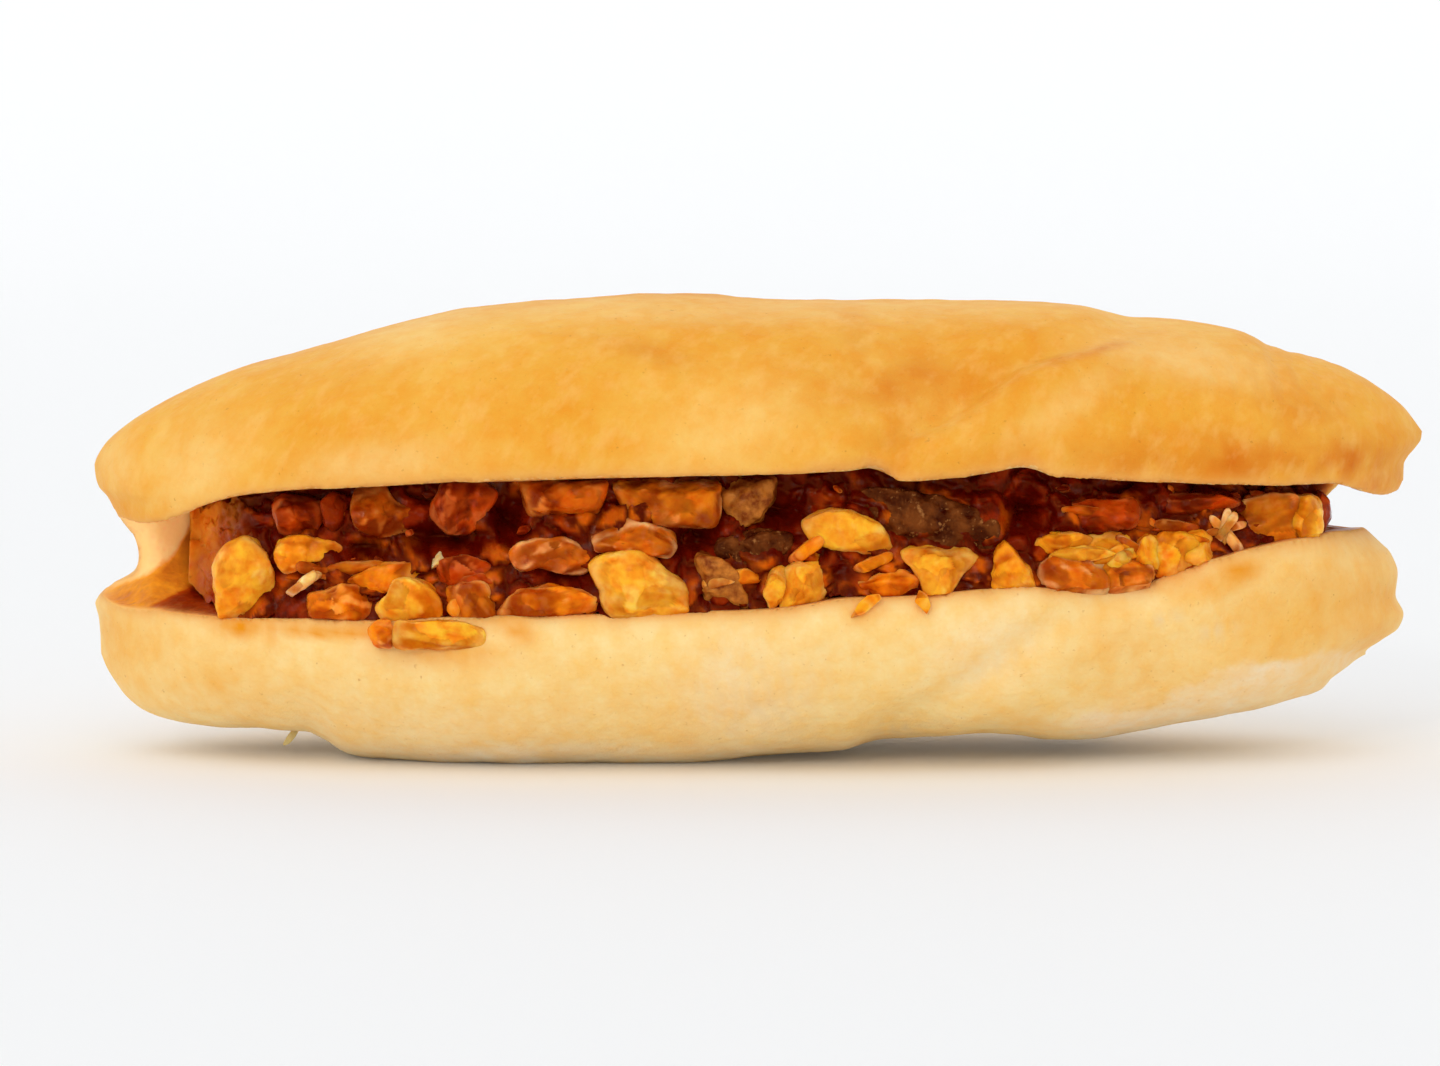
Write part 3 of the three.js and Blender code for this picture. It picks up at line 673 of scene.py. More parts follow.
# %% Material of the crumb
SOAKED = [(0.12, "#FFDC9A"), (0.36, "#F3A01C"), (0.62, "#B84404"), (0.95, "#7E1602")]  # how wet, its colour
crumb_finish, tree, shader, place = new_material("white_bread_crumb")
stain, edge, painted_glow = (
    add_node(tree, FIELD, out="Fac", attribute_name=name) for name in ("stain", "edge", "painted_glow")
)
blots = add_node(tree, NOISE, {"Vector": place, "Scale": per_mm(4), "Detail": 4, "Roughness": 0.65})
shift = add_node(tree, RANGE, {0: blots, 1: 0.25, 2: 0.75, 3: -0.12, 4: 0.12})
level = add_node(tree, "ShaderNodeMath", {0: stain, 1: shift}, operation="ADD", use_clamp=True)
soaked = add_node(tree, "ShaderNodeValToRGB", {"Fac": level})
ramp = soaked.node.color_ramp
for number, (spot, hex_colour) in enumerate(SOAKED):
    stop = ramp.elements[0] if number == 0 else ramp.elements.new(spot)
    stop.position, stop.color = spot, rgba(hex_colour)
ramp.elements.remove(ramp.elements[-1])
pores = add_node(tree, "ShaderNodeTexVoronoi", {"Vector": place, "Scale": per_mm(1.4)}, out="Distance")
porous = add_node(tree, RANGE, {0: pores, 1: 0.0, 2: 0.4, 3: 0.88, 4: 1.0})
crumbly = add_node(tree, MIX, {0: 1.0, MIX_A: soaked, MIX_B: porous}, blend_type="MULTIPLY", **COLOUR)
set_inputs(tree, shader, {
    "Base Color": add_node(tree, MIX, {0: edge, MIX_A: crumbly, MIX_B: "#EDB062"}, **COLOUR),
    "Roughness": add_node(tree, RANGE, {0: level, 1: 0.2, 2: 0.7, 3: 0.85, 4: 0.3}),
    "Normal": add_node(tree, BUMP, {"Height": pores, "Strength": 0.4, "Distance": 0.4 * MM}),
    "IOR": 1.4, "Specular IOR Level": 0.3, "Specular Tint": "#FFD8A0",
    "Subsurface Weight": 0.5, "Subsurface Radius": (1.0, 0.7, 0.4), "Subsurface Scale": 3.5 * MM,
    # Painted glow: a faint emission where the crumb at the left end is thin.
    "Emission Strength": add_node(tree, "ShaderNodeMath", {0: painted_glow, 1: 0.2}, operation="MULTIPLY"),
    "Emission Color": "#FFB860",
})
print("finish:", crumb_finish.name, "with", len(tree.nodes), "nodes")

# %% [markdown]
# ## Cutting the roll
#
# The roll and the cutter bring their own materials, and the Boolean carries them over, so the new faces are
# crumb. The knife's edge is sharp, but bread isn't. A Bevel modifier would want cleaner edges than a
# Boolean leaves, so the vertices near the rim are averaged with their neighbours a few times, which rounds
# it.

# %% Means of neighbours, and the share of crumb


def neighbours_mean(values, edges, count):
    """The mean of each vertex's neighbours, from sums over both ends of every edge."""
    ends = np.concatenate([edges, edges[:, ::-1]])
    columns = [np.bincount(ends[:, 0], column[ends[:, 1]], count) for column in values.T]
    total = np.stack(columns, -1)
    return total / np.maximum(1, np.bincount(ends[:, 0], minlength=count))[:, None]


def crumb_share(mesh):
    """For each vertex, the share of the faces round it that are crumb: 0 on crust, 1 on crumb."""
    slots = np.empty(len(mesh.polygons), np.int32)
    mesh.polygons.foreach_get("material_index", slots)
    sizes = np.empty(len(mesh.polygons), np.int32)
    mesh.polygons.foreach_get("loop_total", sizes)
    corners = np.empty(len(mesh.loops), np.int32)
    mesh.loops.foreach_get("vertex_index", corners)
    is_crumb = np.repeat(slots == 1, sizes).astype(float)
    count = len(mesh.vertices)
    return np.bincount(corners, is_crumb, count) / np.bincount(corners, minlength=count)


print("mean of the neighbours of 0 and 2:",
      neighbours_mean(np.array([[0.0], [2.0]]), np.array([[0, 1]]), 2).T)

# %% Cut the roll and round its rim
RIM_ROUNDS = 10  # how often the rim is averaged
RIM_REACH = 4  # how many rings of vertices beside the rim are averaged too
RIM_STEP, BESIDE_RIM = 0.5, 0.9  # share of the way to the mean, and how much of it beside the rim
EDGE_ROUNDS, EDGE_POWER = 5, 0.7  # how far the paler edge spreads, and how full it is

roll = piece_from("samoli_bread", crust)
roll.data.materials.append(crust_finish)
cutter = piece_from("cutter", cut_shape())
cutter.data.materials.append(crumb_finish)
cut_away(roll, cutter)
bread = points_of(roll.data)
edges = np.empty(len(roll.data.edges) * 2, np.int32)
roll.data.edges.foreach_get("vertices", edges)
edges = edges.reshape(-1, 2)
crumb = crumb_share(roll.data)
near_rim = ((crumb > 0) & (crumb < 1)).astype(float)[:, None]
for _ in range(RIM_REACH):
    near_rim = np.maximum(near_rim, BESIDE_RIM * (neighbours_mean(near_rim, edges, len(bread)) > 0.1))
for _ in range(RIM_ROUNDS):
    bread = bread + RIM_STEP * near_rim * (neighbours_mean(bread, edges, len(bread)) - bread)
bread = np.clip(bread, np.array(cad_low) / MM, np.array(cad_high) / MM)
blended = crumb[:, None]
for _ in range(EDGE_ROUNDS):
    blended = (blended + neighbours_mean(blended, edges, len(bread))) / 2
rim_share = np.clip(4 * blended[:, 0] * (1 - blended[:, 0]), 0, 1) ** EDGE_POWER
roll.data.vertices.foreach_set("co", (bread * MM).astype(np.float32).ravel())
roll.data.update()
print("roll:", len(bread), "vertices,", len(roll.data.polygons), "faces, materials", len(roll.data.materials))

# %% [markdown]
# ## Marks of the oven and the sauce, and painted light
#
# The crust isn't one colour. The lid is golden, with toasted patches low on the right, darker orange in the
# dent, painted shade along its fold's crease and painted highlights along its top and on its lobes. The
# base is cream in the middle and golden at its ends, with painted shade in its ripples and dimples and a
# painted highlight beside its fold, and its underside is floury. Each mark is a soft oval at a place in
# mm, stored on the vertices as a field that the material reads.

# %% Paint the bread's fields
# Toasted patches and darker orange in the lid's dent; the thin row at x 51 and the row at x 21 are painted
# shade along the lid's fold crease.
TOAST_AND_CREASE_SHADE = [  # x, z, half widths along x and z, turn in degrees, strength
    (23, 60.5, 14, 6.5, 12, 0.46),
    (-17, 64.6, 7, 1.9, -14, 0.34),
    (30, 63.5, 8, 3.5, 8, 0.3),
    (72, 48.2, 26, 4.2, 0, 0.9),
    (90, 46.6, 9, 4, 4, 1.0),
    (96, 43.5, 5, 3.4, 0, 0.95),
    (84, 55, 8, 5, 0, 0.36),
    (16, 63.5, 4, 8, 20, 0.3),
    (12, 47.6, 6, 1.4, 8, 0.3),
    (21, 50, 3, 7, -20, 0.35),
    (51, 64.5, 8, 0.6, 13, 0.5),
]
# Pale patches on the lid; the band along its top and the rows at x 48 and 66, on the lobes beside its fold,
# are painted highlights.
PALE_AND_HIGHLIT_ON_LID = [
    (66, 63.5, 15, 3.5, -12, 0.5),
    (-10, 70.5, 70, 2.2, 0, 0.3),
    (-101, 46, 5, 5, 0, 0.4),
    (48, 57.5, 10, 2.6, 34, 0.3),
    (-58, 47.8, 12, 3.5, 6, 0.45),
    (-88, 46, 9, 6, 30, 0.4),
    (-52, 68, 14, 4, 14, 0.4),
    (-5, 53, 12, 6, 30, 0.3),
]
GOLD_ON_BASE = [
    (-99, 18, 9, 9, 0, 0.75),
    (-85, 15, 10, 5, 0, 0.5),
    (84, 24, 17, 9.5, 12, 0.9),
    (72, 29.5, 7, 3.2, 18, 0.8),
    (98, 24, 9, 12, 0, 0.8),
    (60, 14, 12, 5, 20, 0.35),
    (54, 21.5, 9, 5, 35, 0.5),
    (66, 28, 7, 5, 30, 0.45),
]
# Flour on the underside and the base; the row at x 35 is a painted highlight on the lip left of the base's
# fold.
FLOUR_AND_HIGHLIGHT = [
    (58, 5, 22, 5, 8, 0.7),
    (-2, 12, 9, 9, 0, 0.6),
    (-60, 6, 30, 5, 0, 0.3),
    (35, 20.5, 9, 6, 40, 0.5),
]
STAINS = [
    (-80, 22.2, 4.5, 1.9, 0, 0.8),
    (-75, 21.6, 1.3, 2.2, 0, 0.6),
    (-66, 22, 9, 1.1, 0, 1),
    (74, 31.2, 3, 1.7, 0, 1),
    (66, 29.6, 6, 2.4, -8, 0.3),
    (-37, 22.8, 3.4, 2.2, -30, 0.8),
    (-48, 19.3, 11, 2.4, 0, 0.6),
    (16, 25.5, 3, 2, 30, 0.5),
    (25, 26.5, 2, 2, 0, 0.35),
]
# Painted shade: greyish marks in the base's ripples, dimples and folds, and in the hollow right of its fold.
RIPPLE_SHADE = [
    (0, 11, 11, 9, 0, 0.3),
    (24, 6.5, 6, 1.6, 12, 0.5),
    (62, 24.2, 3, 1, 10, 0.5),
    (70, 22, 3, 1.4, 8, 0.45),
    (54, 31.4, 7, 1.2, 6, 0.35),
    (36, 17, 5, 1.2, 32, 0.3),
]
FLOUR_LINE = profile([  # the floury underside ends at this height
    (40, 2), (52, 8.7), (59, 10.2), (66, 13), (72.5, 15.6), (79, 17), (86.5, 17.2), (97, 16.5),
])
CLIMB = profile([  # the sauce climbs to this height in the cut
    (-105, 25.5), (-98.4, 27.8), (-95, 29.3), (-92.5, 31.5), (-91, 34), (-89.8, 36.5), (-88.3, 39), (-86, 42),
    (-83.5, 47),
])


def ovals(rows, x, z):
    """The strongest of several soft ovals at each place, each a bell of the distance from its middle measured
    along its own turned axes."""
    best = np.zeros_like(x)
    for cx, cz, rx, rz, turn, strength in rows:
        c, s = np.cos(np.radians(turn)), np.sin(np.radians(turn))
        along, across = (x - cx) * c + (z - cz) * s, (z - cz) * c - (x - cx) * s
        best = np.maximum(best, strength * bell(np.hypot(along / rx, across / rz)))
    return best


x, y, z = bread.T
front = smooth((4 - y) / 10)  # 1 on the open side, and 0 at the back
uneven, ragged = fractal(bread, 14, 3, 21), fractal(bread, 5, 3, 23)  # they break up the edges of the marks
ripple = np.sin(2 * np.pi * (x + RIPPLE_LEAN * z) / 3.1 + 4 * fractal(bread, 6, 2, 25))
below_seam = (LID_EDGE(x) + BASE_EDGE(x)) / 2 - z + 7 * (1 - front) * uneven
on_base = smooth(below_seam / (6 + 16 * (1 - front)) + 0.5)
paint(roll.data, "edge", rim_share * (0.7 + 0.3 * on_base))
# Toasted field, with painted shade along the lid's fold crease.
toast_and_crease_shade = front * ovals(TOAST_AND_CREASE_SHADE, x, z) + (1 - front) * 0.22 * smooth(0.5 + uneven) * (1 - on_base)
toast_and_crease_shade = toast_and_crease_shade * (0.85 + 0.5 * ragged)
gold = front * ovals(GOLD_ON_BASE, x, z) + (1 - front) * 0.5 * smooth(0.4 + uneven)
# On the lid the pale field is partly painted highlight.
pale = on_base * (1 - 0.8 * gold) * (0.96 + 0.12 * uneven) + (1 - on_base) * front * ovals(PALE_AND_HIGHLIT_ON_LID, x, z)
under_flour = smooth((FLOUR_LINE(x) + 1.5 * ragged - z) / 1.6 + 0.5) * smooth((x - 42) / 12)
# Flour, with a painted highlight beside the base's fold.
flour_and_highlight = np.maximum(front * np.maximum(ovals(FLOUR_AND_HIGHLIGHT, x, z), 0.85 * under_flour), 0.8 * smooth((7 - z) / 6))
paint(roll.data, "pale", np.clip(pale * (0.96 + 0.15 * ragged), 0, 1))
paint(roll.data, "toast_and_crease_shade", np.clip(toast_and_crease_shade, 0, 1))
paint(roll.data, "flour_and_highlight", np.clip(flour_and_highlight * (0.85 + 0.4 * uneven), 0, 1))
# Painted shade, in stripes that follow the ripples.
paint(roll.data, "ash", front * ovals(RIPPLE_SHADE, x, z) * smooth(0.55 + 0.6 * ripple))

# %% Paint the sauce that the bread drank
depth_in = y - open_y(x)  # mm in from the open side
from_left, from_right = smooth((x + 85) / 9), smooth((95 - x) / 6)
lid_rim = smooth((depth_in + 1.8) / 2.4)
base_rim = smooth((depth_in - 1.2 - 2.5 * smooth((x - 40) / 20)) / 3)
from_rim = base_rim * on_base + lid_rim * (1 - on_base)
under_line = smooth((CLIMB(x) - z) / 1.6 + 0.5)
film_reach = 0.05 + 0.42 * smooth((x + 100) / 15)
left_pool = smooth((x + 99) / 6) * base_rim * smooth((24.8 + 0.4 * (x + 97) - z) / 2) * on_base
near_side = smooth((film_reach - way_in(x, y)) / 0.1 + 0.5) * smooth((x + 100) / 6)
crumb_stain = np.maximum.reduce([
    0.95 * from_left * from_right * from_rim * under_line,  # soaked under the filling
    under_line * (0.42 + 0.12 * smooth((x + 93) / 6)) * from_right,  # a thin film everywhere in the cut
    0.86 * left_pool * from_right,
    0.76 * near_side * under_line,
])
crust_stain = front * ovals(STAINS, x, z) * (0.7 + 0.6 * np.abs(fractal(bread, 2.5, 2, 31)))
inside = smooth(3 * blended[:, 0] - 1.4)  # 1 on the crumb, and 0 on the crust
stain_field = crumb_stain * inside + crust_stain * (1 - inside)
paint(roll.data, "stain", np.clip(stain_field, 0, 1))
# Painted glow on the thin, unstained crumb at the left end.
paint(roll.data, "painted_glow", inside * smooth((-83 - x) / 5) * (1 - np.clip(2 * stain_field, 0, 1)))
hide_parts("samoli_roll")
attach(roll, "root")
print("stained vertices:", int((stain_field > 0.3).sum()))

# %% [markdown]
# ## The body of the filling
#
# Behind the pieces that show, the filling is one wet mass of small dice under sauce. Hundreds of separate
# dice could be packed in, but only their fronts would show. So it is a tube that leans back from the open
# side and reaches up to the lid. `cells` breaks its skin into blocks with creases between them: the tops of
# the blocks are brown meat, and the creases and hollows are near-black red, sauce and painted shade, so the
# gaps look deep. The blocks are painted darker up under the lid and lighter at the right end, as painted
# shade and painted light. At the left end the mass thins out into a ramp, which has the colour of the
# soaked bread, painted lighter towards the sauce's line, partly as painted light.

# %% The mass behind the pieces
CORE = {  # mm, but "ends", "end_height" and the two "full" values are shares
    "from": -89.5, "to": 87, "inset": 5.8, "slope": 2.8, "lift": 0.1, "drop": -1.3, "back": 0.4, "ends": 0.09,
    "shrink": 2.5, "end_height": 0.5, "least": 2.5, "ramp": 10, "ramp_from": -79, "ramp_long": 10.5,
    "full_left": 0.95, "full_right": 0.8, "least_deep": 2.5, "least_brow": 2,
}
TOE, CHIN = (3.9, -0.04), (2, 0.24)  # the face's low corners: mm in front of it, and share of the height
CHEEK = (0.4, 0.72)  # the corner above them: share of the slope, and of the height
CORE_STATIONS, CORE_SIDES = 520, 150
HIDDEN = 5  # corners of the section where nothing shows, so a third of the sides is enough for them
DICE, DICE_HIGH, DICE_TILT, CREASE = 6.2, 0.8, 1.0, 0.8  # mm
SKIN_IN = 0.8  # mm, the skin is drawn in by this, so that the blocks end where the form does
SHRED, SHRED_HIGH = 1.7, 0.5  # mm
# Hollows are pushed in, and painted near-black red as sauce and painted shade.
HOLLOWS = [  # x, z, half widths along x and z, turn in degrees, strength
    (-60.8, 33.9, 3.4, 1.6, 0, 1),
    (-47.5, 35.9, 6, 2, 0, 1),
    (-38.3, 40.4, 2.4, 3.8, 0, 1),
    (-9.7, 35.7, 2.8, 2.4, 0, 1),
    (2.5, 41.1, 4.5, 5, 0, 0.9),
    (40.5, 40.4, 2.6, 3.8, 0, 1),
    (-67.6, 41.9, 3, 2.2, 0, 0.9),
    (-28.3, 30, 3.4, 1.3, 0, 0.9),
    (12, 29.5, 2.5, 2.2, 0, 0.3),
]
HOLLOW_DEEP = 5  # mm


def warped(points, by, size, octaves, seed):
    """The points moved by three noises, one for each axis, so that the walls between cells bend."""
    return points + by * np.stack([fractal(points, size, octaves, seed + n) for n in range(3)], -1)


def tilted(away, pick):
    """Height of a plane through each cell's middle, tilted a different way in each cell."""
    return away[..., 0] * np.sin(9 * pick) + away[..., 2] * np.cos(7 * pick)


def core_rings():
    """Rings along the roll through nine corners of the section, as in the solid model, sampled along a closed
    curve of cosine-blended corners."""
    share = np.linspace(0, 1, CORE_STATIONS)[:, None]
    x = CORE["from"] + (CORE["to"] - CORE["from"]) * share
    full = smooth(np.minimum(share, 1 - share) / CORE["ends"])
    full = np.maximum(full, np.where(x < 0, CORE["full_left"], CORE["full_right"]))
    ramp = smooth((CORE["ramp_from"] - x) / CORE["ramp_long"])
    front = open_y(x) + CORE["inset"] + CORE["shrink"] * (1 - full) + CORE["ramp"] * ramp
    back = np.maximum(hinge_y(x) - CORE["back"], front + CORE["least_deep"])
    brow = np.minimum(front + CORE["slope"], back - CORE["least_brow"])

    def at(y, part):
        low = base_cut(x, y) + CORE["lift"]
        room = lid_cut(x, y) - CORE["drop"] - low
        high = np.maximum(CORE["least"], room * (CORE["end_height"] + (1 - CORE["end_height"]) * full))
        return np.concatenate([x, y, low + high * part], 1)

    corners = np.stack([
        at(front - TOE[0], TOE[1]), at((front + back) / 2, 0), at(back, 0), at(back + 0.6 * HINGE_ROUND, 0.5),
        at(back, 1), at((brow + back) / 2, 1), at(brow, 1), at(front + CHEEK[0] * CORE["slope"], CHEEK[1]),
        at(front - CHIN[0], CHIN[1]),
    ], 1)
    count = corners.shape[1]
    hidden = np.linspace(0, HIDDEN, CORE_SIDES // 3, False)
    place = np.concatenate([hidden, np.linspace(HIDDEN, count, CORE_SIDES * 2 // 3, False)])
    i, t = place.astype(int) % count, smooth(place % 1)[None, :, None]
    return corners[:, i] * (1 - t) + corners[:, (i + 1) % count] * t


def core_shape():
    """The rings with blocks, creases, shreds and hollows that push their skin in and out. Returns the
    shape, how far each point is from a crease or a hollow, and its block's random number."""
    rings = core_rings()
    away = rings - rings.mean(1, keepdims=True)
    away = away / np.maximum(1, np.linalg.norm(away, axis=-1, keepdims=True))
    bent = warped(rings, 1.7, 4.5, 3, 43)
    offset, pick, gap = cells(bent, DICE, 41)
    crease = 1 - smooth(gap / 0.4)
    high = DICE_HIGH * pick + DICE_TILT * tilted(offset, pick) - CREASE * crease
    hollow = ovals(HOLLOWS, rings[..., 0], rings[..., 2])
    high = high + SHRED_HIGH * fractal(bent, SHRED, 3, 47) - HOLLOW_DEEP * hollow
    rings = rings + away * (high - SKIN_IN)[..., None]
    at_rim = smooth((BASE_EDGE(rings[..., 0]) + 1 - rings[..., 2]) / 1.5)
    rings[..., 1] = np.maximum(rings[..., 1], open_y(rings[..., 0]) + 1 + 1.2 * at_rim)
    return tube(rings), np.append((1 - crease) * (1 - hollow), (0, 0)), np.append(pick, (0, 0))


core, core_top, core_pick = core_shape()
mass = piece_from("filling_mass", core)
print("mass:", len(mass.data.vertices), "vertices")

# %% [markdown]
# ## One diced piece
#
# Diced chicken is cut with a knife, and then it shrinks and tears in the pan. From the open side each piece
# shows an outline of its own, so a piece here starts as a few corners in the side view. The outline is
# rounded, carried through the depth of the piece with full edges, and trimmed by a few soft planes, which
# leave facets like a knife's. Torn facets, fibres and lumps then push its skin in and out. A cube with a
# Displace modifier would be quicker, but it couldn't follow the outline.

# %% The outline and its sections
CORNER_ROUNDS = 3
FULL = 0.46  # power of the edges' roundness: 1 is an ellipsoid, and 0 a sharp slab
BACK_SPARSE = 0.35  # how dense the rows are behind, where nothing shows


def rounded_outline(corners, count):
    """The closed polygon sampled at even steps of its length. Each sample is averaged with its neighbours,
    which rounds the corners, and the curve is brought back to its full width and height."""
    loop = np.array([*corners, corners[0]], float)
    length = np.concatenate([[0], np.cumsum(np.linalg.norm(np.diff(loop, axis=0), axis=1))])
    place = np.arange(count) / count * length[-1]
    curve = np.stack([np.interp(place, length, loop[:, n]) for n in (0, 1)], -1)
    full = np.ptp(curve, axis=0)
    for _ in range(CORNER_ROUNDS):
        curve = (np.roll(curve, -1, axis=0) + curve + np.roll(curve, 1, axis=0)) / 3
    middle = curve.mean(0)
    return middle + (curve - middle) * full / np.ptp(curve, axis=0)


def section_angles(count):
    """Angles from the front tip, 0, to the back tip, pi, at even steps along the section's curve, and at
    longer steps in the back half."""
    v = np.linspace(0, np.pi, 2001)
    step = np.hypot(np.diff(np.sin(v) ** FULL), np.diff(signed_power(np.cos(v), FULL)))
    length = np.concatenate([[0], np.cumsum(step * np.where(v[:-1] < np.pi / 2, 1, BACK_SPARSE))])
    return np.interp((np.arange(count) + 0.5) / count * length[-1], length, v)


print("section angles of a few rows:", section_angles(5).round(2))

# %% A lump with an outline, facets and fibres
FACET_LEAN = (0.7, 0.2, 0.7)  # spread of the knife planes' directions round the front's own
FACET_OFF, FACET_SHARP = (0.68, 1.0), 12  # how far off the middle a plane cuts, and how sharp the edge is
CRAG, STRAND, SWELLING = 3.6, 1.1, 3.2  # mm, sizes of the torn facets, the fibres and the soft lumps
STRETCH = 0.85  # 0 leaves the fibres as round as grain, and 1 makes them endless
RIM_AT, RIM_WIDE = 0.43, 0.07  # where the front's rim is on the way from the front to the back, and how wide
THICK_ENOUGH = 2.2  # mm, half the thickness from which a piece gets its full relief


def crags(points, size, seed):
    """Heights of torn facets: each cell is a small plane with its own height and tilt, with a crease round
    it. Returns the height and the cell's random number."""
    away, pick, gap = cells(warped(points, 0.18 * size, 0.6 * size, 2, seed), size, seed)
    return 0.4 * pick + 0.8 * tilted(away, pick) - 0.4 * (1 - smooth(gap / 0.3)), pick


def lump(corners, inset, deep, rng, facets=5, lumps=0.34, fibre=0.13, craggy=0.16, grid=(76, 35)):
    """A closed surface of two parameters. The first goes round the outline. The second is an angle from the
    front to the back: the outline is scaled by its sine, and the depth by its cosine, both to a power below
    one. Returns the shape, and for each point how near it is to the front's rim, how high it stands and its
    facet's random number."""
    curve = rounded_outline(corners, grid[0])
    middle, half = curve.mean(0), np.ptp(curve, axis=0) / 2
    v = section_angles(grid[1])[:, None]
    share, depth = np.sin(v) ** FULL, -signed_power(np.cos(v), FULL)
    away = share[..., None] * (curve - middle)[None] / half
    rings = np.stack([away[..., 0], depth + 0 * away[..., 0], away[..., 1]], -1)
    unit, quads, tris = tube(rings, np.array([[0, -1, 0], [0, 1.0, 0]]))
    rim = np.append(np.repeat(bell((v[:, 0] / np.pi - RIM_AT) / RIM_WIDE), grid[0]), (0, 0))
    for normal in rng.normal((0, -1, 0), FACET_LEAN, (facets, 3)):
        normal = normal / np.linalg.norm(normal)
        beyond = unit @ normal - rng.uniform(*FACET_OFF)
        unit = unit - normal * (np.logaddexp(0, FACET_SHARP * beyond) / FACET_SHARP)[:, None]
    scale = np.array([half[0], deep / 2, half[1]])
    centre = np.array([middle[0], open_y(middle[0]) + inset, middle[1]])
    out = unit / scale
    out = out / np.maximum(1e-6, np.linalg.norm(out, axis=1, keepdims=True))
    points = unit * scale + centre
    seed = int(rng.integers(1, 9999))
    thread = rng.normal(0, 1, 3) * (2, 1, 1)
    thread = thread / np.linalg.norm(thread)
    strands = fractal(points - STRETCH * (points @ thread)[:, None] * thread, STRAND, 2, seed)
    bumps = fractal(points, SWELLING, 3, seed + 1)
    torn, pick = crags(points, CRAG, seed + 2)
    room = smooth(min(half.min(), deep / 2) / THICK_ENOUGH)
    points = points + out * ((fibre * strands + lumps * bumps + craggy * torn) * room)[:, None]
    return (points, quads, tris), rim, strands + 0.5 * bumps + 0.5 * torn, pick


cube = lump([(-5, 0), (5, 0), (5, 9), (-5, 9)], 6, 9, np.random.default_rng(1))
print("a lump from a square of 10 by 9 mm:", np.ptp(cube[0][0], axis=0).round(1))

# %% [markdown]
# ## The chicken pieces
#
# Each row is one piece that the photo shows: how far it sits behind the open side, how deep it is, how it
# looks, and the corners of its outline in the side view, x and z in mm. A torn strand needs only its two
# ends and its thickness, and a function makes such a row of them.

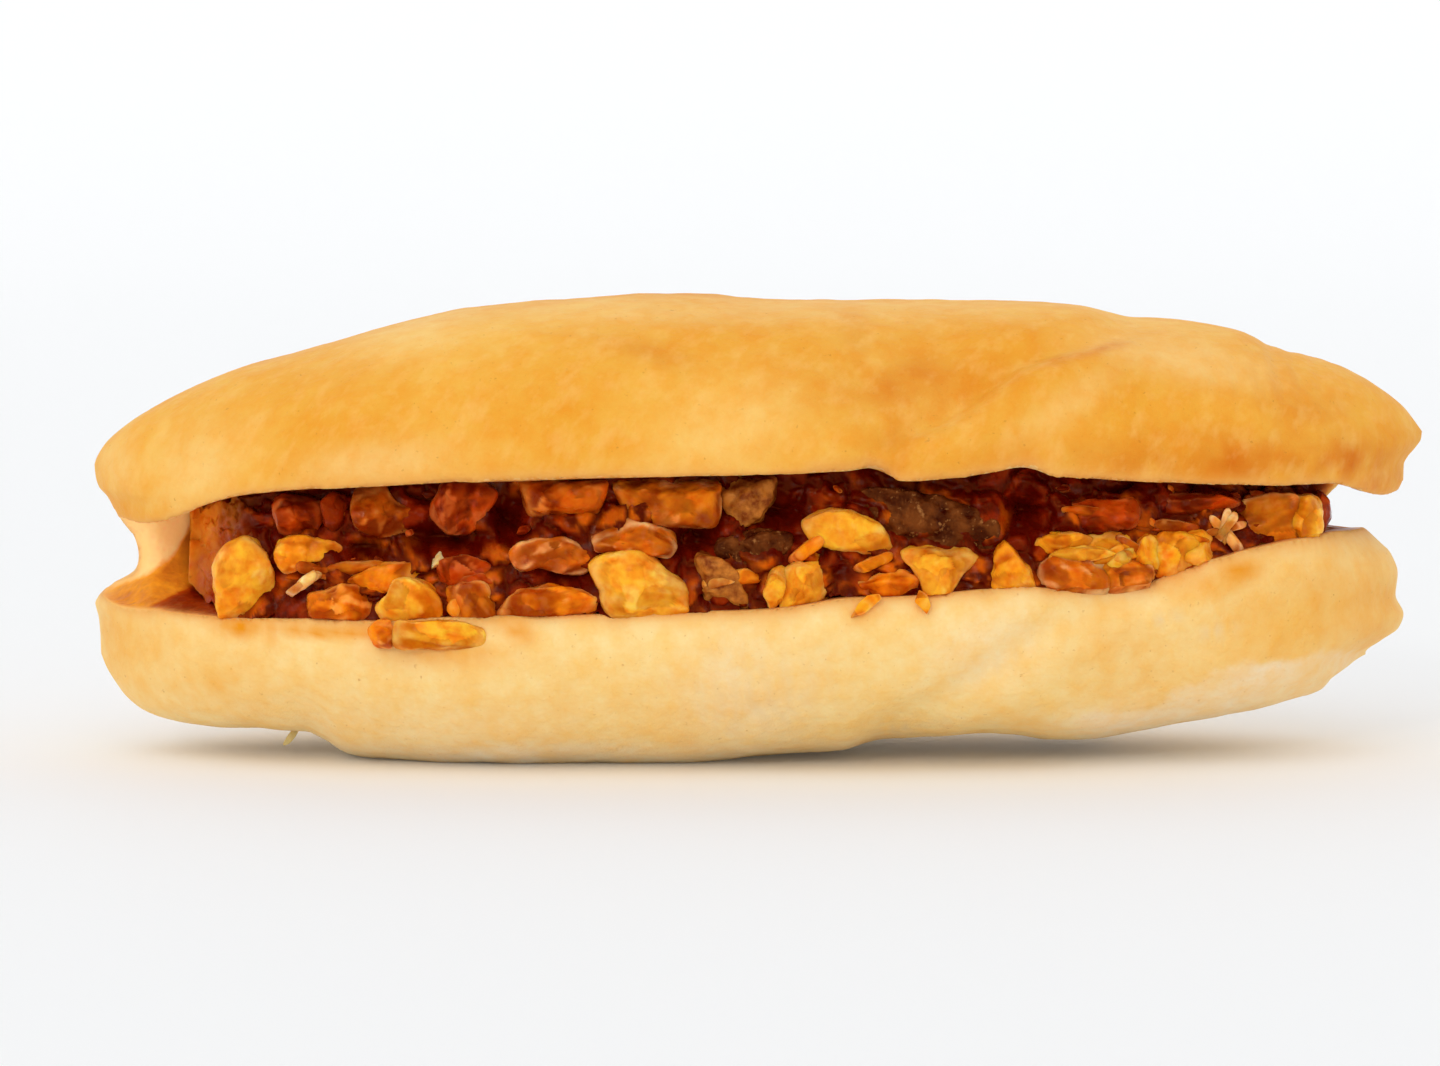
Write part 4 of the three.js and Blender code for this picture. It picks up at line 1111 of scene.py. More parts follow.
# %% Rows of the pieces, from left to right
CHICKEN = [  # inset, depth, look, corners
    (4.8, 9.6, "bright", [(-84.5, 30.7), (-83.8, 33), (-82.2, 34.7), (-79.5, 36.1), (-78.1, 35.8),
                          (-76.1, 33.7), (-75, 30.7), (-74.4, 26.9), (-74.9, 25.1), (-78.9, 23.5),
                          (-83.2, 23.2), (-83.9, 26.9)]),
    (7.2, 7.5, "golden", [(-74.8, 32.6), (-74.5, 34.5), (-73.1, 35.7), (-70.6, 36.3), (-67.9, 35.7),
                          (-64.2, 35.6), (-64, 33.9), (-64.8, 32.5), (-69.1, 32.3), (-71.2, 30.9),
                          (-72.6, 30.3), (-74, 31.1)]),
    (9, 7, "red", [(-75.4, 40.4), (-73.7, 42.3), (-70.2, 42.6), (-67.6, 42), (-67, 38.7), (-68.2, 36.2),
                   (-71.1, 35.4), (-74.2, 36.4)]),
    (3.6, 4, "pale", [(-72.9, 27.7), (-71.8, 26.9), (-70.3, 28), (-67.5, 30), (-67.2, 30.6),
                      (-68.5, 31.1), (-70.3, 30), (-72.1, 28.4)]),
    (5.2, 9, "orange", [(-69.2, 25), (-69.4, 27.8), (-66, 28.8), (-61.5, 29.4), (-57.8, 29),
                        (-57, 27.2), (-58.4, 25.4), (-62, 24.4)]),
    (4, 8, "bright", [(-58.4, 26.3), (-56.8, 28.4), (-56.2, 30), (-54.2, 30.7), (-52.2, 30.3),
                      (-50.1, 29.1), (-48.6, 27.2), (-48.1, 25.1), (-48.4, 23.6), (-55.8, 23.6),
                      (-58.1, 24.9)]),
    (-0.5, 4, "bright", [(-56.1, 20.6), (-55.6, 24.2), (-51, 24.4), (-46, 24.2), (-42.2, 23.6),
                         (-41.6, 21.5), (-42, 19.9), (-49, 19.6), (-55.2, 19.6)]),
    (-0.1, 5, "orange", [(-59.7, 22.8), (-58.2, 24.3), (-56.2, 24.4), (-55.6, 21.5), (-56, 19.7),
                         (-58.5, 19.7), (-59.4, 21.2)]),
    (6.6, 8, "orange", [(-64, 27.8), (-63.6, 29.8), (-59.9, 31.5), (-55.2, 32.4), (-51, 32.6),
                        (-50.2, 31), (-52, 29.4), (-56, 28.2), (-60.6, 27.2)]),
    (8, 6, "pale", [(-50.2, 32.6), (-49.7, 34.2), (-49.1, 34.6), (-48.3, 33.4), (-47.7, 32.6),
                    (-48.3, 31.4), (-50.3, 31.4)]),
    (5.4, 9, "brown", [(-48.6, 25), (-48.2, 28.6), (-45.8, 29.8), (-42.8, 30.2), (-39.2, 29.6),
                       (-38.4, 26.9), (-39.6, 24.6), (-44, 24)]),
    (7.8, 9, "red", [(-50, 29), (-49.5, 32.8), (-46, 33.7), (-42.5, 33.2), (-40.3, 31.5), (-40.5, 28.3),
                     (-45, 27.4)]),
    (4.6, 9, "orange", [(-41.2, 24.4), (-39.6, 26.6), (-37.4, 28.5), (-35.1, 29.3), (-30.5, 29.4),
                        (-25.9, 28.9), (-24.6, 27.6), (-25.4, 25.9), (-27.6, 24.8), (-30, 24.3)]),
    (4.3, 9.4, "bright", [(-26.1, 32.7), (-24.7, 34.3), (-21, 34.7), (-17.1, 34.7), (-13.4, 31.1),
                          (-11.4, 30), (-10.5, 25.2), (-16, 24.7), (-22.6, 24.8), (-24.4, 28.4)]),
    (7.2, 8, "dull", [(-38.3, 34.2), (-37.1, 35.6), (-33.7, 36.6), (-30.6, 36.8), (-26, 36.8),
                      (-25.5, 34.5), (-25.8, 31.2), (-28.3, 30.9), (-33.7, 31.9), (-36, 31.1),
                      (-37.5, 31.9)]),
    (7.4, 9, "rimmed", [(-26, 36.6), (-24.5, 37.7), (-21.7, 38.5), (-21.1, 39.4), (-18.3, 39.3),
                        (-15.2, 38.2), (-13.4, 37.6), (-12.5, 35.7), (-12.8, 34.2), (-14, 33.2),
                        (-16.8, 33), (-24.8, 33.6)]),
    (9.3, 9, "rusty", [(-37, 45.6), (-36.4, 43), (-35.1, 39), (-33.9, 38.5), (-31.6, 38.6), (-30, 37.7),
                       (-27.4, 37.3), (-25.4, 38.7), (-24.6, 40.2), (-23.4, 43), (-23, 45.6)]),
    (9.2, 9, "brown", [(-22.6, 45.8), (-22.1, 43), (-21.2, 40.7), (-19.7, 39.3), (-16.9, 38.5),
                       (-12.2, 38.2), (-6.2, 38.1), (-5.7, 41), (-5.9, 45.8)]),
    (9.2, 9, "red", [(-50.9, 39.6), (-49.9, 42.3), (-48.6, 45.2), (-41.6, 45.2), (-40.1, 43.4),
                     (-40.6, 41.5), (-42.7, 38.4), (-44, 36.8), (-46, 36.5), (-47.8, 37.1),
                     (-50.2, 38.7)]),
    (9.3, 9, "rusty", [(-62.5, 44.2), (-62.9, 40.5), (-61.8, 37.3), (-59, 36.3), (-55.6, 36.4),
                       (-52.3, 37), (-51.6, 39), (-52.8, 40.8), (-55.2, 41.6), (-56.6, 43),
                       (-57.8, 44.8)]),
    (9.3, 8, "dark", [(-67.4, 41.5), (-65.6, 43), (-63.4, 42.6), (-62.8, 38.4), (-64.9, 36.6),
                      (-67, 37.6)]),
    (5.4, 5, "golden", [(-4.1, 31.5), (-2.2, 32), (0.1, 31.5), (0.8, 30.6), (-0.2, 29.7), (-2.7, 29.7),
                        (-3.7, 30.4)]),
    (3.8, 6, "bright", [(0.8, 28.4), (1.3, 31.2), (1.9, 32.1), (3.4, 32.6), (4.4, 31.8), (3.9, 29.2),
                        (3.1, 26.9), (1.9, 26.4)]),
    (5.4, 9, "bright", [(2.8, 31.2), (5.4, 33.2), (9.3, 33.6), (11.2, 32.3), (11.4, 30), (9.9, 28.1),
                        (7, 26.9), (2.8, 26.8)]),
    (8.5, 8, "orange", [(5.2, 33.4), (5.5, 35.6), (7.1, 36.2), (9.1, 34.9), (10, 33.2), (8.6, 32),
                        (5.9, 32)]),
    (7.4, 9.4, "bright", [(6.6, 38.8), (8.2, 40.2), (10.2, 41), (14.3, 41.1), (15.6, 40), (18.3, 39.1),
                          (19.6, 37), (20.6, 34.5), (19.4, 34), (15.6, 33.9), (10.3, 34.8), (8.2, 35.7),
                          (7.2, 37.3)]),
    (5.4, 9, "orange", [(14.8, 30.3), (15.7, 31.5), (18.1, 32.7), (20.7, 32.9), (22.7, 31.5),
                        (24.4, 30.6), (23.9, 29.4), (22.3, 28.1), (18.7, 28.5), (16.3, 28.1)]),
    (5.2, 9, "bright", [(21.3, 35), (23.3, 35.5), (26, 35.6), (30.8, 35.2), (34.6, 33.5), (32.5, 32.1),
                        (30.8, 31), (29.4, 29.2), (27.5, 27.7), (25.4, 28), (24.6, 30), (23.5, 32),
                        (21.6, 33.7)]),
    (4.4, 8, "golden", [(35.1, 30.7), (35.7, 33.7), (36.5, 35.7), (37.6, 36.1), (38.8, 34.9),
                        (40.5, 32.6), (42.3, 30), (43.4, 28.1), (42, 28.4), (39.6, 28.7), (35.7, 28.4)]),
    (7, 9, "golden", [(41.6, 34.2), (42.2, 36.3), (44.2, 37.4), (48.8, 37.4), (51.4, 36.6),
                      (51.8, 33.8), (48.6, 32.2), (44.8, 32.6), (42.3, 33)]),
    (6.6, 9, "golden", [(49.2, 36.4), (52, 37.2), (56.2, 37.1), (58.6, 35.9), (59.4, 33.2),
                        (56.6, 31.6), (51, 31.4)]),
    (4.8, 9, "rimmed", [(42.4, 30.4), (42.8, 32.8), (45.2, 34.2), (51.4, 34.4), (53.8, 32),
                        (53.4, 28.8), (46, 28.2), (43, 28.1)]),
    (5, 9, "brown", [(48.6, 32.4), (52.6, 34.6), (58.2, 34.6), (60.6, 32), (59.7, 29.6), (55.9, 28.7),
                     (51.1, 28.8), (48.8, 29.4)]),
    (4.8, 8, "golden", [(57.6, 33.2), (58.2, 36), (59.6, 37), (61.4, 36.2), (61.6, 33), (60.4, 30.4),
                        (58.2, 30)]),
    (5, 8, "golden", [(59.3, 32.7), (60, 35.8), (61.8, 37.2), (65.3, 37.2), (67.6, 35.8), (67.2, 33.4),
                      (65, 31.4), (60.9, 30.4)]),
    (5.2, 8, "golden", [(64.4, 35.2), (65.4, 36.9), (68.4, 37), (70.4, 36), (71.4, 34.2), (69.6, 32.7),
                        (66.6, 31.8), (63.8, 31.6)]),
    (3.4, 4, "bright", [(44.4, 34), (46.8, 35.2), (51, 35.4), (54.6, 34.2), (52.2, 33.4), (47.4, 33)]),
    (3.6, 4, "bright", [(52.4, 32), (54.6, 34.6), (57.4, 35), (56.4, 32.6), (54, 30.8)]),
    (9.2, 9, "red", [(44.3, 40.7), (48.1, 41.9), (57.4, 42.4), (58.6, 40), (57.5, 37.9), (54.3, 36.8),
                     (49.7, 37.1), (46.6, 38.4)]),
    (9.2, 8, "rusty", [(57.9, 37.3), (59, 38.7), (62.8, 38.9), (66.7, 38.4), (67.2, 37.1), (64.4, 36),
                       (59.7, 36)]),
    (9.6, 9, "red", [(57, 40), (58, 42.4), (66, 42.9), (72, 42.4), (74.5, 41.5), (73.5, 39.4),
                     (68, 38.5), (62, 38.7)]),
    (7.6, 9, "brown", [(73.4, 38.8), (74.8, 41.8), (79.4, 42.7), (83.4, 42.5), (84.8, 39), (84.6, 36),
                       (81.7, 35.1), (77.4, 34.1), (74.2, 33.8)]),
    (4.2, 8, "bright", [(81.3, 40.6), (82.6, 42.1), (85.5, 42.3), (87, 40.6), (87.4, 38), (86.6, 36.2),
                        (82.8, 35.8), (81.6, 38)]),
    (8.2, 7, "red", [(86.2, 37), (86.4, 41), (87.4, 42.4), (88.8, 41), (89.2, 38.4), (88, 36.6)]),
    (0.15, 1.4, "golden", [(13.8, 24.9), (15, 27.1), (16.3, 28.3), (18.1, 28.6), (18.4, 27.8),
                           (17.2, 26.8), (15.7, 25.4)]),
    (0.15, 1.4, "golden", [(23.6, 27.4), (24.2, 29.2), (25.4, 28.6), (26, 26.8), (25.4, 25.5),
                           (24.5, 26.5)]),
]

# %% Rows of the strands
STRANDS = [  # x and z of both ends, thickness, inset, look
    (69.2, 39.3, 74.6, 34.7, 1.3, 4.4, "tan"),
    (70.2, 35.2, 73.4, 40, 1.3, 4.2, "tan"),
    (71.3, 35, 72.2, 40.6, 1.2, 4.4, "tan"),
    (68.6, 36.6, 75.4, 38.3, 1.2, 4.6, "tan"),
    (-71.4, 31.6, -62.6, 29.8, 1.9, 5.6, "rusty"),
    (-66.6, 31, -57.4, 31.8, 2, 5.7, "brown"),
    (-47, 29.4, -39.4, 30.6, 1.8, 5.4, "red"),
    (-47.6, 26.2, -41, 27.6, 1.6, 3.8, "orange"),
    (-9, 29.4, -3.4, 31, 1.6, 4, "tan"),
    (4.4, 32.6, 9.6, 36.6, 1.8, 5.6, "orange"),
    (14.2, 31.6, 20.4, 34.2, 1.6, 4.6, "orange"),
    (44.2, 33.3, 50.8, 34.9, 1.6, 3.5, "bright"),
    (44.8, 29.6, 50.2, 32.2, 1.6, 3.2, "golden"),
    (50.4, 31.6, 55.8, 35.3, 1.5, 3.4, "bright"),
    (54.4, 36.6, 60, 33.6, 1.4, 4, "rimmed"),
    (62.6, 36.4, 69.4, 35.4, 1.4, 3.9, "golden"),
    (46, 40.6, 57.4, 39.4, 2, 6.6, "rusty"),
    (60.6, 38.2, 68, 37.4, 1.8, 6, "brown"),
]
STRAND_SHAPE = [  # share of the way along, and how far across, as a share of the thickness
    (0, 0), (0.05, 0.5), (0.5, 0.56), (0.96, 0.46), (1, -0.2), (0.9, -0.5), (0.1, -0.46),
]
STRAND_DEEP = 1.6  # as a share of the thickness


def strand_row(x0, z0, x1, z1, thick, inset, look):
    """A row like those of the pieces for a torn strand, with seven corners along the line between its
    ends."""
    along, across = np.array(STRAND_SHAPE).T
    dx, dz = x1 - x0, z1 - z0
    length = np.hypot(dx, dz)
    x, z = x0 + along * dx - across * thick * dz / length, z0 + along * dz + across * thick * dx / length
    return inset, STRAND_DEEP * thick, look, np.stack([x, z], -1).tolist()


print("rows:", len(CHICKEN), "pieces and", len(STRANDS), "strands")

# %% [markdown]
# ## Looks of the meat
#
# Every piece has three colours: its own, the darker sauce that gathers in hollows and low down, and the
# paler tone of edges that the heat dried. The darkening low down and on one side is partly painted shade,
# the paler rims and ridges are partly painted highlight, and each facet is painted a little lighter or
# darker, as light on facets would make it. Noise decides where they meet, so no two pieces look the same.
# They are stored on the vertices, because only there are the hollows and the rims known.

# %% Colours of a piece
# The dry tone is partly painted highlight on rims and ridges.
LOOKS = {  # the meat, the sauce on it, its dry tone, how much sauce, how dry its rim and strands are
    "bright": ("#FFB02C", "#D8780A", "#FFC664", 0.15, 0.7),
    "golden": ("#FDA31E", "#C86206", "#FFBA5C", 0.22, 0.7),
    "orange": ("#F48C10", "#B04A02", "#FFB258", 0.35, 0.7),
    "rimmed": ("#D87210", "#9A4006", "#FFC884", 0.28, 0.95),
    "dull": ("#DC7414", "#A04408", "#FFBE78", 0.3, 1.0),
    "brown": ("#E07C12", "#9A4004", "#FFB464", 0.35, 0.8),
    "rusty": ("#CC600C", "#882C00", "#EC943E", 0.36, 0.7),
    "red": ("#BC4406", "#701600", "#DC7838", 0.42, 0.6),
    "dark": ("#902A02", "#560C00", "#B05018", 0.5, 0.3),
    "pale": ("#FFC470", "#EEA050", "#FFDCAC", 0.12, 0.8),
    "tan": ("#EEA248", "#C06A1E", "#FFCE96", 0.3, 0.8),
}
# Painted light: each facet is a little lighter or darker than the next.
FACET_LIGHT = 0.22  # how much lighter or darker one facet is than the next
# The low_down and side weights add painted shade as well as sauce.
WET_AND_SHADE = {"patches": 0.6, "high": 0.4, "low_down": 0.6, "side": 0.55}  # how much each matters to the sauce


def meat_colour(points, rim, high, pick, look, seed):
    """The look's own colour, turned to sauce in hollows and where slow noise says so, and to sauce and
    painted shade low down and on one side; to the dry tone, partly painted highlight, on high strands and
    along the rim, where finer noise leaves it; and each facet painted lighter or darker."""
    own, sauce, dry = (linear(colour) for colour in LOOKS[look][:3])
    low, size = points.min(0), np.ptp(points, axis=0)
    up, across = (points[:, 2] - low[2]) / size[2], (points[:, 0] - low[0]) / size[0] - 0.5
    # Painted shade as well as sauce: darker on one side and low down.
    side = np.sin(seed * 2.4) * across
    low_down = smooth(1 - 2.2 * up)
    wet = LOOKS[look][3] + WET_AND_SHADE["patches"] * fractal(points, 4.2, 3, seed) - WET_AND_SHADE["high"] * high
    sauce_and_shade = smooth(wet + WET_AND_SHADE["low_down"] * low_down + WET_AND_SHADE["side"] * side)[:, None]
    spots = smooth(0.5 + 1.1 * fractal(points, 2.8, 2, seed + 5))
    # Paler dry tone on rims and high strands, partly painted highlight.
    dried_and_highlit = LOOKS[look][4] * (np.maximum(rim, 0.75 * smooth(1.5 * high - 0.2)) * spots)[:, None]
    colour = (own * (1 - sauce_and_shade) + sauce * sauce_and_shade) * (1 - dried_and_highlit) + dry * dried_and_highlit
    # Painted light: each facet lighter or darker by its random number.
    return np.clip(colour * (1 + FACET_LIGHT * pick)[:, None], 0, 1)


print("looks:", ", ".join(LOOKS))

# %% Shape and paint the pieces
SEED, LOOK_SEED = 41, 60
NEAR = 8  # mm, pieces set less deep than this are in front
OUTSIDE = 1  # mm, pieces set less deep than this hang outside the base
SINK = 1.2  # mm, how far the pieces on the base are pressed into its crumb, behind its rim
BOX_SPARE = 0.05  # mm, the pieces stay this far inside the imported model's box


def joined_lumps(rows, first=0, **settings):
    """All the rows' lumps as one shape, with their colours. Each row has a random generator of its own.
    Corners near the base's cut face go down into it, except on pieces that hang outside it."""
    shapes, colours = [], []
    for number, (inset, deep, look, corners) in enumerate(rows, first):
        rng = np.random.default_rng(SEED + number)
        inside_cut = inset > OUTSIDE
        x, z = np.array(corners).T
        z = z - inside_cut * SINK * smooth((2.4 - z + BASE_EDGE(x)) / 1.6)
        shape, rim, high, pick = lump(np.stack([x, z], -1), inset, deep, rng, **settings)
        if inside_cut:
            x, y, z = shape[0].T
            least = BASE_EDGE(x) + 0.2 - 2 * SINK * smooth((y - open_y(x) - 1.6) / 2)
            shape[0][:, 2] = np.maximum(z, least)
        shapes.append(shape)
        colours.append(meat_colour(shape[0], rim, high, pick, look, LOOK_SEED + number))
    points, quads, tris = joined(shapes)
    low, high = np.array(cad_low) / MM + BOX_SPARE, np.array(cad_high) / MM - BOX_SPARE
    return (np.clip(points, low, high), quads, tris), np.concatenate(colours)


front_rows = [row for row in CHICKEN if row[0] < NEAR]
back_rows = [row for row in CHICKEN if row[0] >= NEAR]
front_shape, front_tones = joined_lumps(front_rows)
back_shape, back_tones = joined_lumps(back_rows, len(front_rows))
strand_rows = [strand_row(*row) for row in STRANDS]
strand_shape, strand_tones = joined_lumps(strand_rows, len(CHICKEN), grid=(36, 16))
chicken_front = piece_from("chicken_front", front_shape)
chicken_strands = piece_from("chicken_strands", strand_shape)
chicken_back = piece_from("chicken_back", back_shape)
paint(chicken_front.data, "meat", front_tones)
paint(chicken_back.data, "meat", back_tones)
paint(chicken_strands.data, "meat", strand_tones)
print("chicken:", len(front_rows), "pieces in front and", len(back_rows), "behind them")

# %% Paint the mass
# At the left end the mass is painted lighter towards the sauce's line, partly as painted light.
RAMP_COLOUR_FROM, RAMP_COLOUR_OVER = -76, 9  # mm, where the mass starts to look like soaked bread


def blend(below, above, share):
    """The mix of two linear colours, or arrays of them, at each share."""
    return below * (1 - share) + above * share


def mass_colour(points, top, pick):
    """Creases and hollows are dark: sauce, and painted shade. The blocks between them go from dark to bright
    with their random number and slow noise, brighter towards the base, where there is less sauce and more
    painted light, and towards the right end as painted light. At the left end they take the soaked bread's
    colours, lighter towards the sauce's line, partly as painted light."""
    x, _, z = points.T
    up = (z - BASE_EDGE(x)) / (LID_EDGE(x) - BASE_EDGE(x))
    # Painted shade: darker up towards the lid. Painted light: lighter towards the right end.
    shade = 0.46 + 0.2 * smooth((x - 42) / 12) - 0.5 * up + 0.4 * pick + 0.7 * fractal(points, 5, 3, 51)
    meat = blend(linear("#8A2002"), linear("#DE6A08"), smooth(shade)[:, None])
    soaked = smooth(1.3 - (CLIMB(x) - z) / 12 + 0.3 * fractal(points, 4, 2, 53))[:, None]
    at_end = smooth((RAMP_COLOUR_FROM - x) / RAMP_COLOUR_OVER)[:, None]
    meat = blend(meat, blend(linear("#A43206"), linear("#EE9828"), soaked), at_end)
    # Creases and hollows near-black red: sauce and painted shade.
    bare_and_unshaded = (top * smooth(0.55 + 1.1 * fractal(points, 1.8, 3, 52)))[:, None]
    return blend(linear("#560600"), meat, np.maximum(at_end, bare_and_unshaded))


mass_tones = mass_colour(core[0], core_top, core_pick)
paint(mass.data, "meat", mass_tones)
print("mean colour of the mass, linear:", mass_tones.mean(0).round(3))

# %% [markdown]
# ## Finish of the chicken
#
# Cooked meat under a thin sauce has soft light inside, a wet surface and fine fibres. Water-based sauce has
# an IOR near 1.36. The fibres are about half a millimetre apart, too fine to show, so they are drawn at 1.5
# mm. The sauce's red oil tints what it reflects, so the specular tint is orange, with paler glints in small
# spots where the sauce is thin. A coat layer could carry the sauce, but a roughness that changes in patches
# does the same at this size.

# %% Material of the chicken
meat_finish, tree, shader, place = new_material("sauced_roast_chicken")
painted = add_node(tree, FIELD, out="Color", attribute_name="meat")
shreds = add_node(tree, NOISE, {"Vector": place, "Scale": per_mm(1.5), "Detail": 2, "Roughness": 0.5})
patchy = add_node(tree, NOISE, {"Vector": place, "Scale": per_mm(3), "Detail": 3, "Roughness": 0.5})
spots = add_node(tree, NOISE, {"Vector": place, "Scale": per_mm(1.7), "Detail": 2, "Roughness": 0.55})
in_shred = add_node(tree, RANGE, {0: shreds, 1: 0.3, 2: 0.62})
streak = add_node(tree, MIX, {0: in_shred, MIX_A: "#F4CBA4", MIX_B: "#FFFFFF"}, **COLOUR)
glint = add_node(tree, RANGE, {0: spots, 1: 0.56, 2: 0.66})
set_inputs(tree, shader, {
    "Base Color": add_node(
        tree, MIX, {0: 1.0, MIX_A: painted, MIX_B: streak}, blend_type="MULTIPLY", **COLOUR,
    ),
    "Roughness": add_node(tree, RANGE, {0: patchy, 1: 0.35, 2: 0.65, 3: 0.16, 4: 0.42}),
    "Normal": add_node(tree, BUMP, {"Height": shreds, "Strength": 0.3, "Distance": 0.5 * MM}),
    "IOR": 1.36, "Specular IOR Level": 0.5,
    "Specular Tint": add_node(tree, MIX, {0: glint, MIX_A: "#FF9648", MIX_B: "#FFDCBC"}, **COLOUR),
    "Subsurface Weight": 0.4, "Subsurface Radius": (1.0, 0.4, 0.1), "Subsurface Scale": 1.8 * MM,
})
for piece in (mass, chicken_front, chicken_back, chicken_strands):
    piece.data.materials.append(meat_finish)
    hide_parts("chicken_filling")
    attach(piece, "root")
print("finish:", meat_finish.name, "with", len(tree.nodes), "nodes")

# %% [markdown]
# ## Small bits between the pieces
#
# Between the pieces the sauce carries crumbled meat. The bits are lumps with a random, long outline, half
# sunk in the front of the sauce. Copies of one bit would repeat, so each has its own outline. One seeded
# generator sets them, so every run puts them in the same places. None is set where the pepper or the onion
# shows.

# %% Bits of meat in the sauce
BITS_COUNT, BIT_SIZES = 70, (0.5, 1.2)  # mm
BITS_FROM, BITS_TO = -79, 83  # mm along the roll
BIT_LOOKS = {"dark": 0.24, "red": 0.34, "rusty": 0.22, "brown": 0.12, "orange": 0.05, "tan": 0.03}  # odds
CLEAR_OF_BITS = [(14, 37.5, 33, 45), (-7, 6, 31.5, 47), (-10.5, 0, 24, 35)]  # x from and to, z from and to
HALF_SUNK = 0.7  # mm, how far a bit's middle lies behind the front of the mass


def random_bit(rng):
    """A row like those of the pieces: a jittered outline of seven corners, longer than it is tall, at a
    random place on the front of the mass."""
    x, part = rng.uniform(BITS_FROM, BITS_TO), rng.uniform(0.03, 0.97)
    z = BASE_EDGE(x) + part * (LID_EDGE(x) - BASE_EDGE(x))
    size, lean = rng.uniform(*BIT_SIZES), rng.uniform(-0.9, 0.9)
    turn = np.arange(7) * np.pi / 3.5 + rng.uniform(0, 6) + rng.uniform(-0.3, 0.3, 7)
    reach = size * rng.uniform(0.55, 1.15, 7)
    along, across = rng.uniform(1.1, 1.8) * reach * np.cos(turn), rng.uniform(0.6, 0.9) * reach * np.sin(turn)
    c, s = np.cos(lean), np.sin(lean)
    corners = np.stack([x + c * along - s * across, z + s * along + c * across], -1)
    lean_back = np.interp(part, [CHEEK[1] / 2, CHEEK[1], 1], [0, CHEEK[0], 1])
    inset = CORE["inset"] + HALF_SUNK + CORE["slope"] * lean_back
    look = rng.choice(list(BIT_LOOKS), p=list(BIT_LOOKS.values()))
    return inset, 1.5 * size, str(look), [tuple(corner) for corner in corners]


def is_free(row):
    """True where a bit's first corner is clear of the vegetables and its middle isn't in a hollow."""
    corners = np.array(row[3])
    (x, z), middle = corners[0], corners.mean(0)[:, None]
    covered = any(x0 < x < x1 and z0 < z < z1 for x0, x1, z0, z1 in CLEAR_OF_BITS)
    return not covered and ovals(HOLLOWS, *middle)[0] < 0.4


bits_rng = np.random.default_rng(SEED)
bits_rows = [row for row in (random_bit(bits_rng) for _ in range(BITS_COUNT)) if is_free(row)]
bits_shape, bits_tones = joined_lumps(bits_rows, facets=5, grid=(36, 18))
bits = piece_from("chicken_bits", bits_shape)
paint(bits.data, "meat", bits_tones)
bits.data.materials.append(meat_finish)
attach(bits, "root")
print("bits:", len(bits_rows), "of", len(bits.data.polygons), "faces")

# %% [markdown]
# ## Pepper and onion
#
# The pepper is a slab of dark olive skin, cooked soft, crinkled and shiny, with painted glints: pale tan
# spots in its colour. The onion is brown and half see-through, which some scattered light inside it gives.
# Both are lumps with outlines too, with higher and softer bumps than the meat has.

# %% Material of the pepper
pepper_finish, tree, shader, place = new_material("cooked_pepper_skin")
crinkles = add_node(tree, NOISE, {"Vector": place, "Scale": per_mm(3.4), "Detail": 3, "Roughness": 0.55})
spots = add_node(tree, NOISE, {"Vector": place, "Scale": per_mm(1.2), "Detail": 3, "Roughness": 0.6})
on_crinkle = add_node(tree, RANGE, {0: crinkles, 1: 0.38, 2: 0.64})
olive = add_node(tree, MIX, {0: on_crinkle, MIX_A: "#380A02", MIX_B: "#743A14"}, **COLOUR)
# Painted glints: pale tan spots mixed into the base colour.
glint = add_node(tree, RANGE, {0: spots, 1: 0.6, 2: 0.72, 4: 0.7})
set_inputs(tree, shader, {
    "Base Color": add_node(tree, MIX, {0: glint, MIX_A: olive, MIX_B: "#B87C44"}, **COLOUR),
    "Normal": add_node(tree, BUMP, {"Height": crinkles, "Strength": 0.8, "Distance": 1.6 * MM}),
    "Roughness": 0.14, "IOR": 1.4, "Specular IOR Level": 0.35, "Specular Tint": "#FFA860",
})
print("finish:", pepper_finish.name, "with", len(tree.nodes), "nodes")

# %% Material of the onion
onion_finish, tree, shader, place = new_material("soft_brown_onion")
layers = add_node(tree, NOISE, {"Vector": place, "Scale": per_mm(2.2), "Detail": 4, "Roughness": 0.6})
in_layer = add_node(tree, RANGE, {0: layers, 1: 0.36, 2: 0.62})
set_inputs(tree, shader, {
    "Base Color": add_node(tree, MIX, {0: in_layer, MIX_A: "#7E3408", MIX_B: "#C87A2C"}, **COLOUR),
    "Roughness": 0.24, "IOR": 1.38, "Specular Tint": "#FFC48A",
    "Subsurface Weight": 0.4, "Subsurface Radius": (1.0, 0.5, 0.2), "Subsurface Scale": 2 * MM,
})
print("finish:", onion_finish.name, "with", len(tree.nodes), "nodes")

